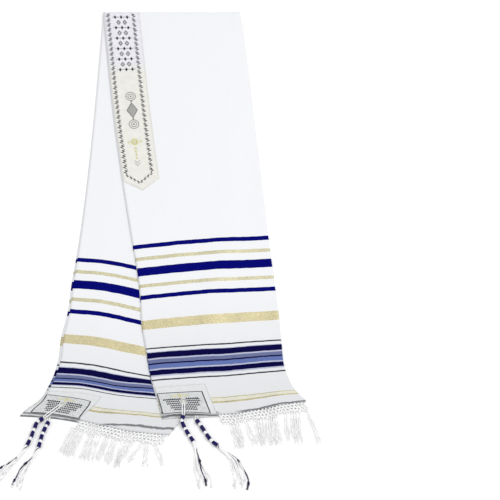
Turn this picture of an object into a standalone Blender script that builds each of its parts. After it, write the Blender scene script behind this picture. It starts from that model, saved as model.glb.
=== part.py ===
"""Tallit prayer shawl lying flat on a surface.

The cloth is folded in half along its length, then over at its middle, and its two halves are fanned
out: the back half lies on the surface and the front half lies on it. Metres, +Z up, +Y towards the fold.
Table rows and small sizes are in millimetres.
"""

import math
from collections import namedtuple

import bmesh
import bpy
import numpy as np
from mathutils import Vector

MM = 0.001

# The woven cloth
CLOTH_WIDTH = 560.0
FOLDED_WIDTH = CLOTH_WIDTH / 2
CLOTH_WALL = 1.2
LAYER_GAP = 0.7
LAYER_PITCH = CLOTH_WALL + LAYER_GAP
SEAM_GAP = 0.3

# The rounded edge where the two layers of a half join, and how the front half comes down off the back half
EDGE_PUFF = 1.2
EDGE_PUFF_REACH = 14.0
DROP_START = 10.0
DROP_REACH = 60.0

# The fold across the middle lifts the front half a little off the back half
MIDDLE_LIFT = 1.4
MIDDLE_LIFT_REACH = 30.0

# How far the under layer of each half shows past the upper one at the hem, next to the selvedge
UNDER_HEM_SHOWS = 8.0
UNDER_SHOWS_UP_TO = 0.6

# Steps round a folded edge and round the fold across the middle, and how near it the rows run straight
EDGE_STEPS = 6
BEND_STEPS = 6
ROWS_STRAIGHTEN = 300.0

# Places across the folded cloth from the selvedge, and along it from the hem, where its surface is worked
# out. The sewn-on pieces end on some of them, so that they lie on the cloth without crossing it.
SEWN_INSET = 1.5
BAND_COLUMNS = (SEWN_INSET, 26.0, 50.0, 74.5)
PATCH_COLUMNS = BAND_COLUMNS + (107.5,)
COLUMNS = (0.0, *PATCH_COLUMNS, 140.0, 172.0, 204.0, 232.0, 253.0, 269.0, FOLDED_WIDTH)
PATCH_ROWS = (SEWN_INSET, 22.0, 43.0, 63.5)
LOWER_ROWS = (0.0, *PATCH_ROWS, 90.0, 120.0, 155.0, 195.0, 240.0, 290.0, 345.0, 400.0, 450.0)
BAND_END = 528.0
BAND_ROWS = (BAND_END, 575.0, 625.0, 675.0, 725.0, 772.0, 815.0, 850.0, 877.0, 897.0)
BACK_UPPER_ROWS = (505.0, 560.0, 615.0, 670.0, 725.0, 780.0, 830.0, 873.0, 904.0, 927.0)

# Sewn-on pieces
BAND_WALL = 1.0
BAND_TIP = 26.0
BAND_TURN_UNDER = math.radians(128)
BAND_CORNER = 3.0
PATCH_WALL = 1.0
EYELET_RADIUS = 5.0
EYELET_ACROSS = 51.0
EYELET_UP = 27.0
EYELET_CUT = 30.0

# The knotted heading under each hem and its tassels
HEADING_HEIGHT = 22.0
HEADING_STARTS = PATCH_COLUMNS[-1] + 4
HEADING_STEP = 16.0
STRAND_WIDTH = 2.6
UNDER_STRAND_REST = 0.95
UPPER_STRAND_REST = 2.55
STRAND_STEPS = 5
STRAND_TAPER = 0.6
STRAND_WANDER = 1.2
STRAND_UNEVEN = 0.05

# The wound corner tassels. Each winding is a blue turn; the first is the knot at the hem.
Winding = namedtuple("Winding", "length radius")
KNOT_RADIUS = 4.8
WINDINGS = (Winding(8.0, KNOT_RADIUS), Winding(12.5, 4.3), Winding(12.5, 4.2), Winding(12.0, 4.2))
WINDING_SIDES = 8
WHITE_LENGTH = 6.5
WHITE_RADIUS = 3.3
WINDING_BEVEL = 1.0
CORD_STEPS = 7
CORD_SCALE = 1.15
CORD_INSET = 0.25
CORD_REST = 1.9
UPPER_CORD_REST = 5.3
CORD_WANDER = 1.0
BRIDLE_SPREAD = 2.4
BRIDLE_IN_EYELET = 0.75
BRIDLE_CLEARANCE = 1.9
BRIDLE_UNDER_HEIGHT = 1.7
BRIDLE_STRAIGHT = 3.5
KNOT_COMES_DOWN = 24.0
KNOT_PASSES_HEM = 4.0

# A row of the cloth, from its left end to its right end. from_hem is measured along the cloth, and sag is
# how far the row's middle hangs towards the hem.
Section = namedtuple("Section", "from_hem left_x left_y right_x right_y sag under_shows")

FRONT_SECTIONS = (
    Section(-24, -5, -935, 292, -904, 13, 1),
    Section(0, -11, -913, 283, -882, 13, 1),
    Section(34, -20, -880, 259, -856, 5, 1),
    Section(81, -33, -836, 240, -813, 4, 1),
    Section(149, -45, -769, 232, -748, 3, 1),
    Section(203, -54, -717, 227, -693, 1, 1),
    Section(264, -58, -655, 220, -633, 0, 1),
    Section(320, -64, -600, 213, -577, 0, 1),
    Section(377, -74, -543, 206, -520, 0, 1),
    Section(660, -118, -255, 175, -240, 0, 1),
    Section(913, -146, 0, 146, 0, 0, 0),
)
BACK_SECTIONS = (
    Section(-24, -306, -926, -12, -978, 0, 2),
    Section(0, -296, -906, 2, -953, 0, 2),
    Section(34, -262, -879, 27, -920, 0, 3),
    Section(81, -239, -846, 45, -886, 0, 5),
    Section(149, -221, -791, 58, -838, 0, 5),
    Section(203, -216, -741, 63, -786, 0, 5),
    Section(264, -204, -681, 73, -728, 0, 4),
    Section(320, -198, -624, 79, -668, 0, 4),
    Section(377, -191, -569, 86, -614, 0, 3),
    Section(660, -165, -300, 118, -312, 0, 1),
    Section(945, -146, 0, 146, 0, 0, 0),
)

# How far each row arches towards the fold, and in how many half waves
FRONT_BOW = (3.0, 1)
BACK_BOW = (4.5, 2)

# Soft ridges in the upper layers: where each one's middle is, which way it runs, and its sizes
Ridge = namedtuple("Ridge", "x y degrees half_length half_width height")

FRONT_RIDGES = (
    Ridge(60, -240, 80, 170, 46, 2.2),
    Ridge(178, -430, 84, 120, 34, 1.8),
    Ridge(42, -668, 6, 75, 26, 1.6),
    Ridge(150, -700, 78, 90, 30, 1.8),
    Ridge(225, -872, 64, 44, 20, 3.0),
    Ridge(140, -884, 82, 40, 22, 2.4),
    Ridge(36, -912, 3, 42, 20, 3.0),
)
BACK_RIDGES = (
    Ridge(-166, -250, 84, 130, 10, 0.8),
    Ridge(-176, -862, 108, 48, 22, 3.4),
    Ridge(-142, -690, 96, 90, 26, 1.8),
    Ridge(-106, -912, 78, 40, 22, 2.6),
    Ridge(-238, -912, -8, 36, 20, 3.0),
)

# Tassels of the fringe. at: place along the hem from the selvedge; lean: how far the ends lie to the right
Tassel = namedtuple("Tassel", "at strands root_pitch end_pitch lean reach")

FRONT_UPPER_TASSELS = (
    Tassel(131, 3, 4.2, 3.6, 13, 52),
    Tassel(159, 2, 4.2, 5.5, 16, 49),
    Tassel(196, 7, 4.6, 4.4, 6, 56),
    Tassel(234, 2, 4.2, 3.6, 5, 59),
    Tassel(257, 3, 4.2, 3.6, 4, 67),
    Tassel(275, 2, 4.2, 4.6, 26, 67),
)
FRONT_UNDER_TASSELS = (
    Tassel(140, 3, 4.4, 4.4, 10, 46),
    Tassel(176, 3, 4.4, 4.4, 10, 50),
    Tassel(212, 4, 4.4, 4.4, 8, 56),
    Tassel(248, 3, 4.4, 4.4, 6, 56),
)
BACK_UPPER_TASSELS = (
    Tassel(106, 3, 4.4, 4.0, -24, 52),
    Tassel(124, 3, 4.4, 4.0, -22, 55),
    Tassel(143, 3, 4.4, 4.0, -20, 52),
    Tassel(172, 3, 4.4, 4.0, -20, 50),
    Tassel(190, 3, 4.4, 4.0, -17, 52),
    Tassel(222, 3, 4.4, 4.2, -30, 44),
    Tassel(240, 2, 4.4, 4.2, -29, 42),
    Tassel(267, 2, 4.2, 4.6, 14, 42),
)
BACK_UNDER_TASSELS = (
    Tassel(115, 3, 4.4, 4.2, -20, 50),
    Tassel(157, 3, 4.4, 4.2, -18, 52),
    Tassel(206, 3, 4.4, 4.2, -14, 54),
    Tassel(250, 3, 4.2, 4.2, -3, 48),
)

# Corner tassels. The winding runs through its points; the cords run on through theirs and spread.
CornerTassel = namedtuple("CornerTassel", "name half is_upper winding cords spread")

CORNER_TASSELS = (
    CornerTassel("tzitzit_front_upper", "front", True,
                 ((33, -915), (30, -924), (35, -937), (44, -953), (54, -968)),
                 ((60, -990), (63, -1008), (67, -1028), (74, -1049), (76, -1068)), 26),
    CornerTassel("tzitzit_front_under", "front", False,
                 ((60, -922), (72, -939), (82, -955), (93, -969), (104, -977)),
                 ((119, -992), (136, -1007), (144, -1026), (149, -1047), (148, -1070)), 28),
    CornerTassel("tzitzit_back_upper", "back", True,
                 ((-254, -919), (-265, -926), (-272, -942), (-279, -962), (-286, -977)),
                 ((-295, -992), (-306, -1005), (-320, -1018), (-334, -1031), (-347, -1045)), 15),
    CornerTassel("tzitzit_back_under", "back", False,
                 ((-243, -926), (-249, -938), (-255, -953), (-259, -969), (-262, -981)),
                 ((-270, -999), (-281, -1015), (-292, -1031), (-301, -1048), (-308, -1068)), 17),
)

Finish = namedtuple("Finish", "colour roughness metallic")
WHITE_WEAVE = Finish((0.93, 0.93, 0.95), 0.85, 0.0)
CREAM_SATIN = Finish((0.86, 0.86, 0.83), 0.55, 0.0)
FRINGE_WHITE = Finish((0.92, 0.92, 0.92), 0.9, 0.0)
WOUND_BLUE = Finish((0.05, 0.05, 0.35), 0.8, 0.0)


def smooth_step(value):
    value = min(1.0, max(0.0, value))
    return value * value * (3 - 2 * value)


def curve_through(places, values, at):
    """The value at a place on a smooth curve through a table's rows."""
    index = min(len(places) - 2, max(0, int(np.searchsorted(places, at)) - 1))
    slopes = np.gradient(values, places)
    span = places[index + 1] - places[index]
    t = (at - places[index]) / span
    return float(
        values[index] * (1 + 2 * t) * (1 - t) ** 2
        + slopes[index] * span * t * (1 - t) ** 2
        + values[index + 1] * t * t * (3 - 2 * t)
        + slopes[index + 1] * span * t * t * (t - 1)
    )


class Half:
    """One half of the folded shawl: where its rows lie seen from above, and its ridges."""

    def __init__(self, sections, bow, ridges):
        self.places = np.array([row.from_hem for row in sections], float)
        self.columns = {
            name: np.array([getattr(row, name) for row in sections], float)
            for name in Section._fields[1:]
        }
        self.length = float(self.places[-1])
        self.bow_height, self.bow_waves = bow
        self.ridges = ridges
        samples = np.linspace(self.places[0], self.length, 80)
        edge = sorted((self.column("right_y", s), self.column("right_x", s)) for s in samples)
        self.edge_y = np.array([point[0] for point in edge])
        self.edge_x = np.array([point[1] for point in edge])

    def column(self, name, from_hem):
        return curve_through(self.places, self.columns[name], from_hem)

    def plan(self, across, from_hem, is_upper):
        """Where a point lies seen from above. across is 0 at the selvedge and 1 at the folded edge."""
        if not is_upper:
            near_hem = 1 - smooth_step(from_hem / (self.length * UNDER_SHOWS_UP_TO))
            from_hem = from_hem - UNDER_HEM_SHOWS * (1 - across) * near_hem
        left = Vector((self.column("left_x", from_hem), self.column("left_y", from_hem)))
        right = Vector((self.column("right_x", from_hem), self.column("right_y", from_hem)))
        point = left.lerp(right, across)
        flat_at_fold = smooth_step((self.length - from_hem) / ROWS_STRAIGHTEN)
        point.y += self.bow_height * math.sin(math.pi * self.bow_waves * across) * flat_at_fold
        point.y -= self.column("sag", from_hem) * math.sin(math.pi * across) ** 2
        if not is_upper:
            point.x -= self.column("under_shows", from_hem) * (1 - across)
        return point

    def under_hem_y(self, x):
        """Where the under layer's hem lies, seen from above, at a place from left to right."""
        hem = [self.plan(step / 20, 0, False) for step in range(21)]
        return float(np.interp(x, [point.x for point in hem], [point.y for point in hem]))

    def past_edge(self, x, y):
        """How far a point lies to the right of the folded edge."""
        return x - float(np.interp(y, self.edge_y, self.edge_x))

    def swelling(self, x, y):
        """How far the upper layer lies above the under one, beyond the plain pitch."""
        height = EDGE_PUFF * math.exp(-((min(0.0, self.past_edge(x, y)) / EDGE_PUFF_REACH) ** 2))
        for ridge in self.ridges:
            angle = math.radians(ridge.degrees)
            along = (x - ridge.x) * math.cos(angle) + (y - ridge.y) * math.sin(angle)
            beside = (y - ridge.y) * math.cos(angle) - (x - ridge.x) * math.sin(angle)
            height += ridge.height * math.exp(
                -((along / ridge.half_length) ** 2) - (beside / ridge.half_width) ** 2
            )
        return height


FRONT = Half(FRONT_SECTIONS, FRONT_BOW, FRONT_RIDGES)
BACK = Half(BACK_SECTIONS, BACK_BOW, BACK_RIDGES)
HALVES = {"front": FRONT, "back": BACK}


def layer_height(half, x, y, is_upper):
    """Height of the middle of a layer's wall."""
    under = CLOTH_WALL / 2
    if half is FRONT:
        on_back = 1 - smooth_step((BACK.past_edge(x, y) - DROP_START) / DROP_REACH)
        stack = LAYER_PITCH * 2 + BACK.swelling(x, y)
        lift = MIDDLE_LIFT * math.exp(-((min(0.0, y) / MIDDLE_LIFT_REACH) ** 2))
        under += (stack + lift) * on_back
    return under + (LAYER_PITCH + half.swelling(x, y) if is_upper else 0)


def layer_point(half, across, from_hem, is_upper):
    plan = half.plan(across, from_hem, is_upper)
    return Vector((plan.x, plan.y, layer_height(half, plan.x, plan.y, is_upper)))


def edge_point(half, turn, from_hem):
    """A point on the rounded edge of a half. turn is 0 at its upper layer and pi at its under one."""
    upper = layer_point(half, 1, from_hem, True)
    under = layer_point(half, 1, from_hem, False)
    radius = (upper.z - under.z) / 2
    before = half.plan(1, from_hem - 1, True)
    along = (half.plan(1, from_hem + 1, True) - before).normalized()
    middle = (upper + under) / 2
    return Vector((
        middle.x + along.y * radius * math.sin(turn),
        middle.y - along.x * radius * math.sin(turn),
        middle.z + radius * math.cos(turn),
    ))


def cloth_point(half, place, from_hem):
    """A point at a place round the folded cloth: a side of it and how far across, or an angle round its edge.

    Side "a" carries the neckband. It is the upper layer of the front half and the under one of the back.
    """
    side, value = place
    if side == "edge":
        return edge_point(half, value if half is FRONT else math.pi - value, from_hem)
    return layer_point(half, value, from_hem, (side == "a") == (half is FRONT))


def bend_point(place, angle, lift=0.0):
    """A point on the fold across the middle. angle is 0 where the front half starts and pi at the back."""
    front = cloth_point(FRONT, place, FRONT.length)
    back = cloth_point(BACK, place, BACK.length)
    middle = (front + back) / 2
    radius = (front.z - back.z) / 2 + lift
    return Vector((middle.x, middle.y + radius * math.sin(angle), middle.z + radius * math.cos(angle)))


def lifted_point(half, across, from_hem, lift):
    """A point above the upper layer of a half, square to its surface."""
    step = 2.0
    here = layer_point(half, across, from_hem, True)
    to_right = layer_point(half, across + step / FOLDED_WIDTH, from_hem, True) - here
    to_fold = layer_point(half, across, from_hem + step, True) - here
    return here + to_right.cross(to_fold).normalized() * lift


def make_material(name, finish):
    material = bpy.data.materials.new(name)
    material.use_nodes = True
    shader = material.node_tree.nodes["Principled BSDF"]
    shader.inputs["Base Color"].default_value = (*finish.colour, 1)
    shader.inputs["Roughness"].default_value = finish.roughness
    shader.inputs["Metallic"].default_value = finish.metallic
    return material


def add_object(name, bm, finish, collection):
    """Makes a named object from a bmesh in millimetres."""
    bmesh.ops.scale(bm, vec=(MM, MM, MM), verts=bm.verts)
    mesh = bpy.data.meshes.new(name)
    bm.to_mesh(mesh)
    bm.free()
    mesh.shade_smooth()
    made = bpy.data.objects.new(name, mesh)
    made.data.materials.append(make_material(name, finish))
    collection.objects.link(made)
    return made


def grid(columns, rows, place):
    """A grid with a point for each column and row, moved to where place() puts it."""
    bm = bmesh.new()
    bmesh.ops.create_grid(bm, x_segments=len(columns) - 1, y_segments=len(rows) - 1, size=1)
    for vert in bm.verts:
        column = round((vert.co.x + 1) / 2 * (len(columns) - 1))
        row = round((vert.co.y + 1) / 2 * (len(rows) - 1))
        vert.co = place(columns[column], rows[row])
    return bm


def add_sheet(name, bm, wall, finish, collection):
    """Makes an object from an open surface, with its wall on both sides of it."""
    bmesh.ops.triangulate(bm, faces=bm.faces[:], quad_method="FIXED")
    made = add_object(name, bm, finish, collection)
    solidify = made.modifiers.new("wall", "SOLIDIFY")
    solidify.thickness = wall * MM
    solidify.offset = 0
    solidify.use_even_offset = True
    return made


def bend_rows(whole_turn):
    """Rows round the fold across the middle, up to an angle."""
    step = math.pi / BEND_STEPS
    rows = [("bend", step * count) for count in range(1, BEND_STEPS) if step * count < whole_turn - 0.1]
    return rows + ([("bend", whole_turn)] if whole_turn < math.pi else [])


def add_cloth(collection):
    """The whole woven cloth, one folded wall."""
    across = [column / FOLDED_WIDTH for column in COLUMNS]
    turns = [math.pi * step / EDGE_STEPS for step in range(1, EDGE_STEPS)]
    places = [("a", a) for a in across] + [("edge", t) for t in turns] + [("b", a) for a in reversed(across)]
    front = (*LOWER_ROWS, BAND_END - BAND_TIP, *BAND_ROWS, FRONT.length)
    back = (*LOWER_ROWS, *BACK_UPPER_ROWS, BACK.length)
    rows = [("front", d) for d in front] + bend_rows(math.pi) + [("back", d) for d in reversed(back)]

    def place(column, row):
        part, value = row
        if part == "bend":
            return bend_point(column, value)
        return cloth_point(HALVES[part], column, value)

    return add_sheet("shawl_cloth", grid(places, rows, place), CLOTH_WALL, WHITE_WEAVE, collection)


def add_neckband(collection):
    """The neckband sewn along the selvedge, from its pointed end over the fold."""
    lift = CLOTH_WALL / 2 + SEAM_GAP + BAND_WALL / 2
    rows = [("tip", 0.0), ("tip", 0.5)]
    rows += [("front", d) for d in (*BAND_ROWS, FRONT.length)] + bend_rows(BAND_TURN_UNDER)
    middle = (BAND_COLUMNS[0] + BAND_COLUMNS[-1]) / 2
    columns = sorted((*BAND_COLUMNS, middle))

    def place(column, row):
        across = column / FOLDED_WIDTH
        part, value = row
        if part == "bend":
            return bend_point(("a", across), value, lift)
        if part == "tip":
            from_middle = abs(column - middle) / (middle - SEWN_INSET)
            point_out = BAND_CORNER + (BAND_TIP - BAND_CORNER) * (1 - from_middle)
            return lifted_point(FRONT, across, BAND_END - point_out * (1 - value), lift)
        return lifted_point(FRONT, across, value, lift)

    return add_sheet("neckband", grid(columns, rows, place), BAND_WALL, CREAM_SATIN, collection)


def add_patch(name, half, collection, cutters):
    """A corner patch on the upper layer, with the eyelet that the corner tassel goes through."""
    lift = CLOTH_WALL / 2 + SEAM_GAP + PATCH_WALL / 2
    bm = grid(PATCH_COLUMNS, PATCH_ROWS,
              lambda column, row: lifted_point(half, column / FOLDED_WIDTH, row, lift))
    patch = add_sheet(name, bm, PATCH_WALL, CREAM_SATIN, collection)
    bpy.ops.mesh.primitive_cylinder_add(vertices=12, radius=EYELET_RADIUS * MM, depth=EYELET_CUT * MM,
                                        location=eyelet_point(half) * MM)
    cutter = bpy.context.active_object
    cutter.name = name + "_eyelet_cutter"
    cutter.hide_render = True
    cutter.display_type = "WIRE"
    for other in cutter.users_collection:
        other.objects.unlink(cutter)
    cutters.objects.link(cutter)
    cut = patch.modifiers.new("eyelet", "BOOLEAN")
    cut.operation = "DIFFERENCE"
    cut.solver = "EXACT"
    cut.object = cutter
    return patch


def patch_top(half, x, y):
    """Height of the top of the corner patch, or of where it would be beyond its edge."""
    return layer_height(half, x, y, True) + CLOTH_WALL / 2 + SEAM_GAP + PATCH_WALL


def eyelet_point(half):
    """The middle of the eyelet, on top of the cloth."""
    return lifted_point(half, EYELET_ACROSS / FOLDED_WIDTH, EYELET_UP, CLOTH_WALL / 2)


class Station:
    """A place on a swept path, with the two directions that its cross-section lies in."""

    def __init__(self, centre, direction, scale=1.0):
        self.centre = centre
        self.scale = scale
        self.side = direction.cross(Vector((0, 0, 1))).normalized()
        self.up = self.side.cross(direction).normalized()

    def local(self, point):
        offset = (point - self.centre) / self.scale
        return offset.dot(self.side), offset.dot(self.up)

    def place(self, local):
        return self.centre + (self.side * local[0] + self.up * local[1]) * self.scale


def stations_along(points, scales):
    """Stations at the points of a path, each square to it."""
    found = []
    for index, point in enumerate(points):
        before = points[max(0, index - 1)]
        after = points[min(len(points) - 1, index + 1)]
        found.append(Station(point, (after - before).normalized(), scales[index]))
    return found


def sweep(bm, face, stations):
    """Extrudes a face from the first station through the others, and returns its far end."""
    outline = [(vert.co.copy(), stations[0].local(vert.co)) for vert in face.verts]
    for station in stations[1:]:
        face = bmesh.ops.extrude_discrete_faces(bm, faces=[face])["faces"][0]
        moved = []
        for vert in face.verts:
            local = min(outline, key=lambda corner: (corner[0] - vert.co).length)[1]
            vert.co = station.place(local)
            moved.append((vert.co.copy(), local))
        outline = moved
    return face


def nearest_face(bm, point):
    return min(bm.faces, key=lambda face: (face.calc_center_median() - point).length)


def strand_roots(tassels):
    """The two ends of each strand's root along the hem, with its tassel and its place in that."""
    roots = []
    for tassel in tassels:
        for strand in range(tassel.strands):
            place = strand - (tassel.strands - 1) / 2
            middle = tassel.at + place * tassel.root_pitch
            roots.append((middle - STRAND_WIDTH / 2, middle + STRAND_WIDTH / 2, tassel, place))
    return roots


def heading_columns(side, roots):
    """Places along the heading: both ends of every root, with more between them where they are far apart."""
    edges = sorted({HEADING_STARTS, FOLDED_WIDTH, *(edge for root in roots for edge in root[:2])})
    columns = []
    for left, right in zip(edges, edges[1:]):
        steps = max(1, round((right - left) / HEADING_STEP))
        columns += [left + (right - left) * step / steps for step in range(steps)]
    columns.append(edges[-1])
    return [(side, column / FOLDED_WIDTH) for column in columns]


def strand_points(root, start, tassel, place, rest, number):
    """The path of a strand, from its root under the heading to its end on the surface."""
    spread = place * (tassel.end_pitch - tassel.root_pitch)
    reach = tassel.reach * (1 + STRAND_UNEVEN * math.sin(5 * number))
    points = [start]
    for step in range(1, STRAND_STEPS + 1):
        t = step / STRAND_STEPS
        wander = STRAND_WANDER * math.sin(2.2 * math.pi * t + tassel.at)
        points.append(Vector((
            root.x + (tassel.lean + spread + wander) * t,
            root.y - reach * t,
            root.z + (rest - root.z) * smooth_step(t * 2.5),
        )))
    return points


def add_strands(bm, half, side, tassels, rest):
    """The strands of one layer's tassels, each from its own face on the heading's lower edge."""
    for number, (left, right, tassel, place) in enumerate(strand_roots(tassels)):
        ends = [cloth_point(half, (side, end / FOLDED_WIDTH), -HEADING_HEIGHT) for end in (left, right)]
        root = (ends[0] + ends[1]) / 2
        face = nearest_face(bm, root)
        points = strand_points(root, face.calc_center_median(), tassel, place, rest, number)
        sweep(bm, face, stations_along(points, [1.0] * STRAND_STEPS + [STRAND_TAPER]))


def add_fringe(name, half, upper_tassels, under_tassels, collection):
    """The knotted heading round one hem, and the strands of its tassels."""
    upper, under = ("a", "b") if half is FRONT else ("b", "a")
    turns = [math.pi * step / EDGE_STEPS for step in range(1, EDGE_STEPS)]
    if half is BACK:
        turns = turns[::-1]
    columns = heading_columns(upper, strand_roots(upper_tassels)) + [("edge", turn) for turn in turns]
    columns += reversed(heading_columns(under, strand_roots(under_tassels)))
    rows = [-SEAM_GAP, -HEADING_HEIGHT / 2, -HEADING_HEIGHT]
    bm = grid(columns, rows, lambda column, row: cloth_point(half, column, row))
    bmesh.ops.recalc_face_normals(bm, faces=bm.faces)
    for vert, normal in [(vert, vert.normal.copy()) for vert in bm.verts]:
        vert.co -= normal * CLOTH_WALL / 2
    bmesh.ops.solidify(bm, geom=bm.faces[:], thickness=-CLOTH_WALL)
    bmesh.ops.recalc_face_normals(bm, faces=bm.faces)
    add_strands(bm, half, upper, upper_tassels, UPPER_STRAND_REST)
    add_strands(bm, half, under, under_tassels, UNDER_STRAND_REST)
    return add_object(name, bm, FRINGE_WHITE, collection)


def path_places(points):
    """The distance along a path to each of its points."""
    places = [0.0]
    for before, after in zip(points, points[1:]):
        places.append(places[-1] + math.dist(before, after))
    return np.array(places)


def path_length(points):
    return float(path_places(points)[-1])


def point_on_path(points, at):
    """A point on a smooth path through 2D points, at a distance along it."""
    places = path_places(points)
    at = min(places[-1], max(0.0, at))
    columns = np.array(points, float).T
    return tuple(curve_through(places, column, at) for column in columns)


def winding_rings():
    """Distances along a winding and the radius at each: a knot and blue turns, with narrow white between."""
    rings = []
    at = 0.0
    for turn in WINDINGS:
        rings.append((at, WHITE_RADIUS))
        rings.append((at + WINDING_BEVEL, turn.radius))
        rings.append((at + turn.length - WINDING_BEVEL, turn.radius))
        rings.append((at + turn.length, WHITE_RADIUS))
        at += turn.length + WHITE_LENGTH
    return rings


def tassel_rest(row, x, y, hem):
    """Height of what a corner tassel lies on: the under layer's hem, the back half's edge or the surface."""
    height = 0.0
    if row.half == "front":
        on_back = 1 - smooth_step((BACK.past_edge(x, y) - KNOT_RADIUS) / KNOT_COMES_DOWN)
        height = on_back * (LAYER_PITCH * 2 + BACK.swelling(x, y))
    if row.is_upper:
        on_hem = smooth_step((y - hem + KNOT_PASSES_HEM) / KNOT_COMES_DOWN + 1)
        height = max(height, on_hem * (layer_height(HALVES[row.half], x, hem, False) + CLOTH_WALL / 2))
    return height


def winding_centres(row, half, rings):
    """The middle of each ring. The winding comes down from the cloth to the surface."""
    stretch = path_length(row.winding) / rings[-1][0]
    hem = half.under_hem_y(row.winding[0][0])
    centres = []
    for at, _ in rings:
        x, y = point_on_path(row.winding, at * stretch)
        centres.append(Vector((x, y, tassel_rest(row, x, y, hem) + SEAM_GAP + KNOT_RADIUS)))
    return centres


def wedges_of(bm, face, station):
    """Cuts a face into wedges about its middle. Returns the lower and the upper ones, from left to right."""
    wedges = bmesh.ops.poke(bm, faces=[face])["faces"]
    wedges.sort(key=lambda wedge: station.local(wedge.calc_center_median())[0])
    bmesh.ops.inset_individual(bm, faces=wedges, thickness=CORD_INSET, use_even_offset=True)
    is_upper = [station.local(wedge.calc_center_median())[1] > 0 for wedge in wedges]
    return [[wedge for wedge, up in zip(wedges, is_upper) if up == level] for level in (False, True)]


def cord_points(row, last, root, place, rest):
    """The path of one of the cords that a winding ends in. place is from -0.5, at the left, to 0.5."""
    path = [(last.centre.x, last.centre.y), *row.cords]
    length = path_length(path)
    beside = last.local(root)[0]
    points = [root]
    for step in range(1, CORD_STEPS + 1):
        t = step / CORD_STEPS
        reach = length * t * (1 - 0.08 * (round(place * 6) % 3))
        here = Vector(point_on_path(path, reach))
        along = Vector(point_on_path(path, reach + 1)) - Vector(point_on_path(path, reach - 1))
        along.normalize()
        shift = beside + (row.spread * place - beside) * smooth_step(t * 2.4)
        shift += CORD_WANDER * math.sin(5.5 * t) * t
        points.append(Vector((
            here.x + along.y * shift,
            here.y - along.x * shift,
            root.z + (rest - root.z) * smooth_step(t * 2.2 - 0.2),
        )))
    return points


def bridle_over_patch(half, root, beside):
    """The path of a cord from the knot over the hem and the patch, and down into the eyelet."""
    eyelet = eyelet_point(half)
    back = root - eyelet
    back.z = 0
    length = back.length
    back.normalize()
    aside = back.cross(Vector((0, 0, 1)))
    points = [root]
    for left in (length * 0.8, length * 0.6, length * 0.4, EYELET_RADIUS - 0.5, 1.0):
        here = eyelet + back * left + aside * beside * max(BRIDLE_IN_EYELET, min(1.0, left / 8))
        here.z = patch_top(half, here.x, here.y) + BRIDLE_CLEARANCE
        points.append(here)
    points[-1].z = eyelet.z + SEAM_GAP + CORD_REST
    return points


def bridle_under_hem(half, root, beside):
    """The path of a cord from the knot to the under layer's hem, which hides the rest of it."""
    x = root.x - beside * 0.4
    hem = half.under_hem_y(x)
    height = max(BRIDLE_UNDER_HEIGHT, layer_height(half, x, hem, False))
    return [root] + [Vector((x, hem - off, height)) for off in (BRIDLE_STRAIGHT, SEAM_GAP + 0.1)]


def add_bridle(bm, row, face, first):
    """The cords that run back from the knot to the cloth that holds it."""
    half = HALVES[row.half]
    lower, upper = wedges_of(bm, face, first)
    wedges = upper if row.is_upper else lower
    route = bridle_over_patch if row.is_upper else bridle_under_hem
    for wedge, beside in ((wedges[0], -BRIDLE_SPREAD), (wedges[-1], BRIDLE_SPREAD)):
        points = route(half, wedge.calc_center_median(), beside)
        sweep(bm, wedge, stations_along(points, [1.0] + [CORD_SCALE] * (len(points) - 1)))


def add_corner_tassel(row, collection):
    """A knot and a wound cord beside the hem, and the eight cords that it ends in."""
    half = HALVES[row.half]
    rings = winding_rings()
    stations = stations_along(winding_centres(row, half, rings),
                              [radius / rings[0][1] for _, radius in rings])
    bm = bmesh.new()
    made = bmesh.ops.create_cone(bm, cap_ends=True, segments=WINDING_SIDES,
                                 radius1=rings[0][1], radius2=rings[0][1], depth=2)
    for vert in made["verts"]:
        station = stations[1 if vert.co.z > 0 else 0]
        vert.co = station.place((vert.co.x, vert.co.y))
    start_face = nearest_face(bm, stations[0].centre)
    end_face = sweep(bm, nearest_face(bm, stations[1].centre), stations[1:])
    add_bridle(bm, row, start_face, stations[0])
    for wedges, rest in zip(wedges_of(bm, end_face, stations[-1]), (CORD_REST, UPPER_CORD_REST)):
        for number, wedge in enumerate(wedges):
            place = number / (len(wedges) - 1) - 0.5
            points = cord_points(row, stations[-1], wedge.calc_center_median(), place, rest)
            sweep(bm, wedge, stations_along(points, [1.0] + [CORD_SCALE] * CORD_STEPS))
    bmesh.ops.recalc_face_normals(bm, faces=bm.faces)
    bmesh.ops.triangulate(bm, faces=bm.faces[:], quad_method="FIXED")
    return add_object(row.name, bm, WOUND_BLUE, collection)


def middle_of(parts):
    """The middle of all the parts, seen from above."""
    bpy.context.view_layer.update()
    graph = bpy.context.evaluated_depsgraph_get()
    corners = [part.matrix_world @ Vector(corner)
               for part in parts for corner in part.evaluated_get(graph).bound_box]
    low, high = ([limit(corner[axis] for corner in corners) for axis in range(2)] for limit in (min, max))
    return Vector(((low[0] + high[0]) / 2, (low[1] + high[1]) / 2, 0))


def main():
    for old in list(bpy.data.objects):
        bpy.data.objects.remove(old)
    shawl = bpy.data.collections.new("tallit_prayer_shawl")
    cutters = bpy.data.collections.new("cutters")
    for collection in (shawl, cutters):
        bpy.context.scene.collection.children.link(collection)
    parts = [
        add_cloth(shawl),
        add_neckband(shawl),
        add_patch("corner_patch_front", FRONT, shawl, cutters),
        add_patch("corner_patch_back", BACK, shawl, cutters),
        add_fringe("fringe_front", FRONT, FRONT_UPPER_TASSELS, FRONT_UNDER_TASSELS, shawl),
        add_fringe("fringe_back", BACK, BACK_UPPER_TASSELS, BACK_UNDER_TASSELS, shawl),
    ]
    parts += [add_corner_tassel(row, shawl) for row in CORNER_TASSELS]
    middle = middle_of(parts)
    for moved in parts + list(cutters.objects):
        moved.location -= middle


main()
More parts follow.
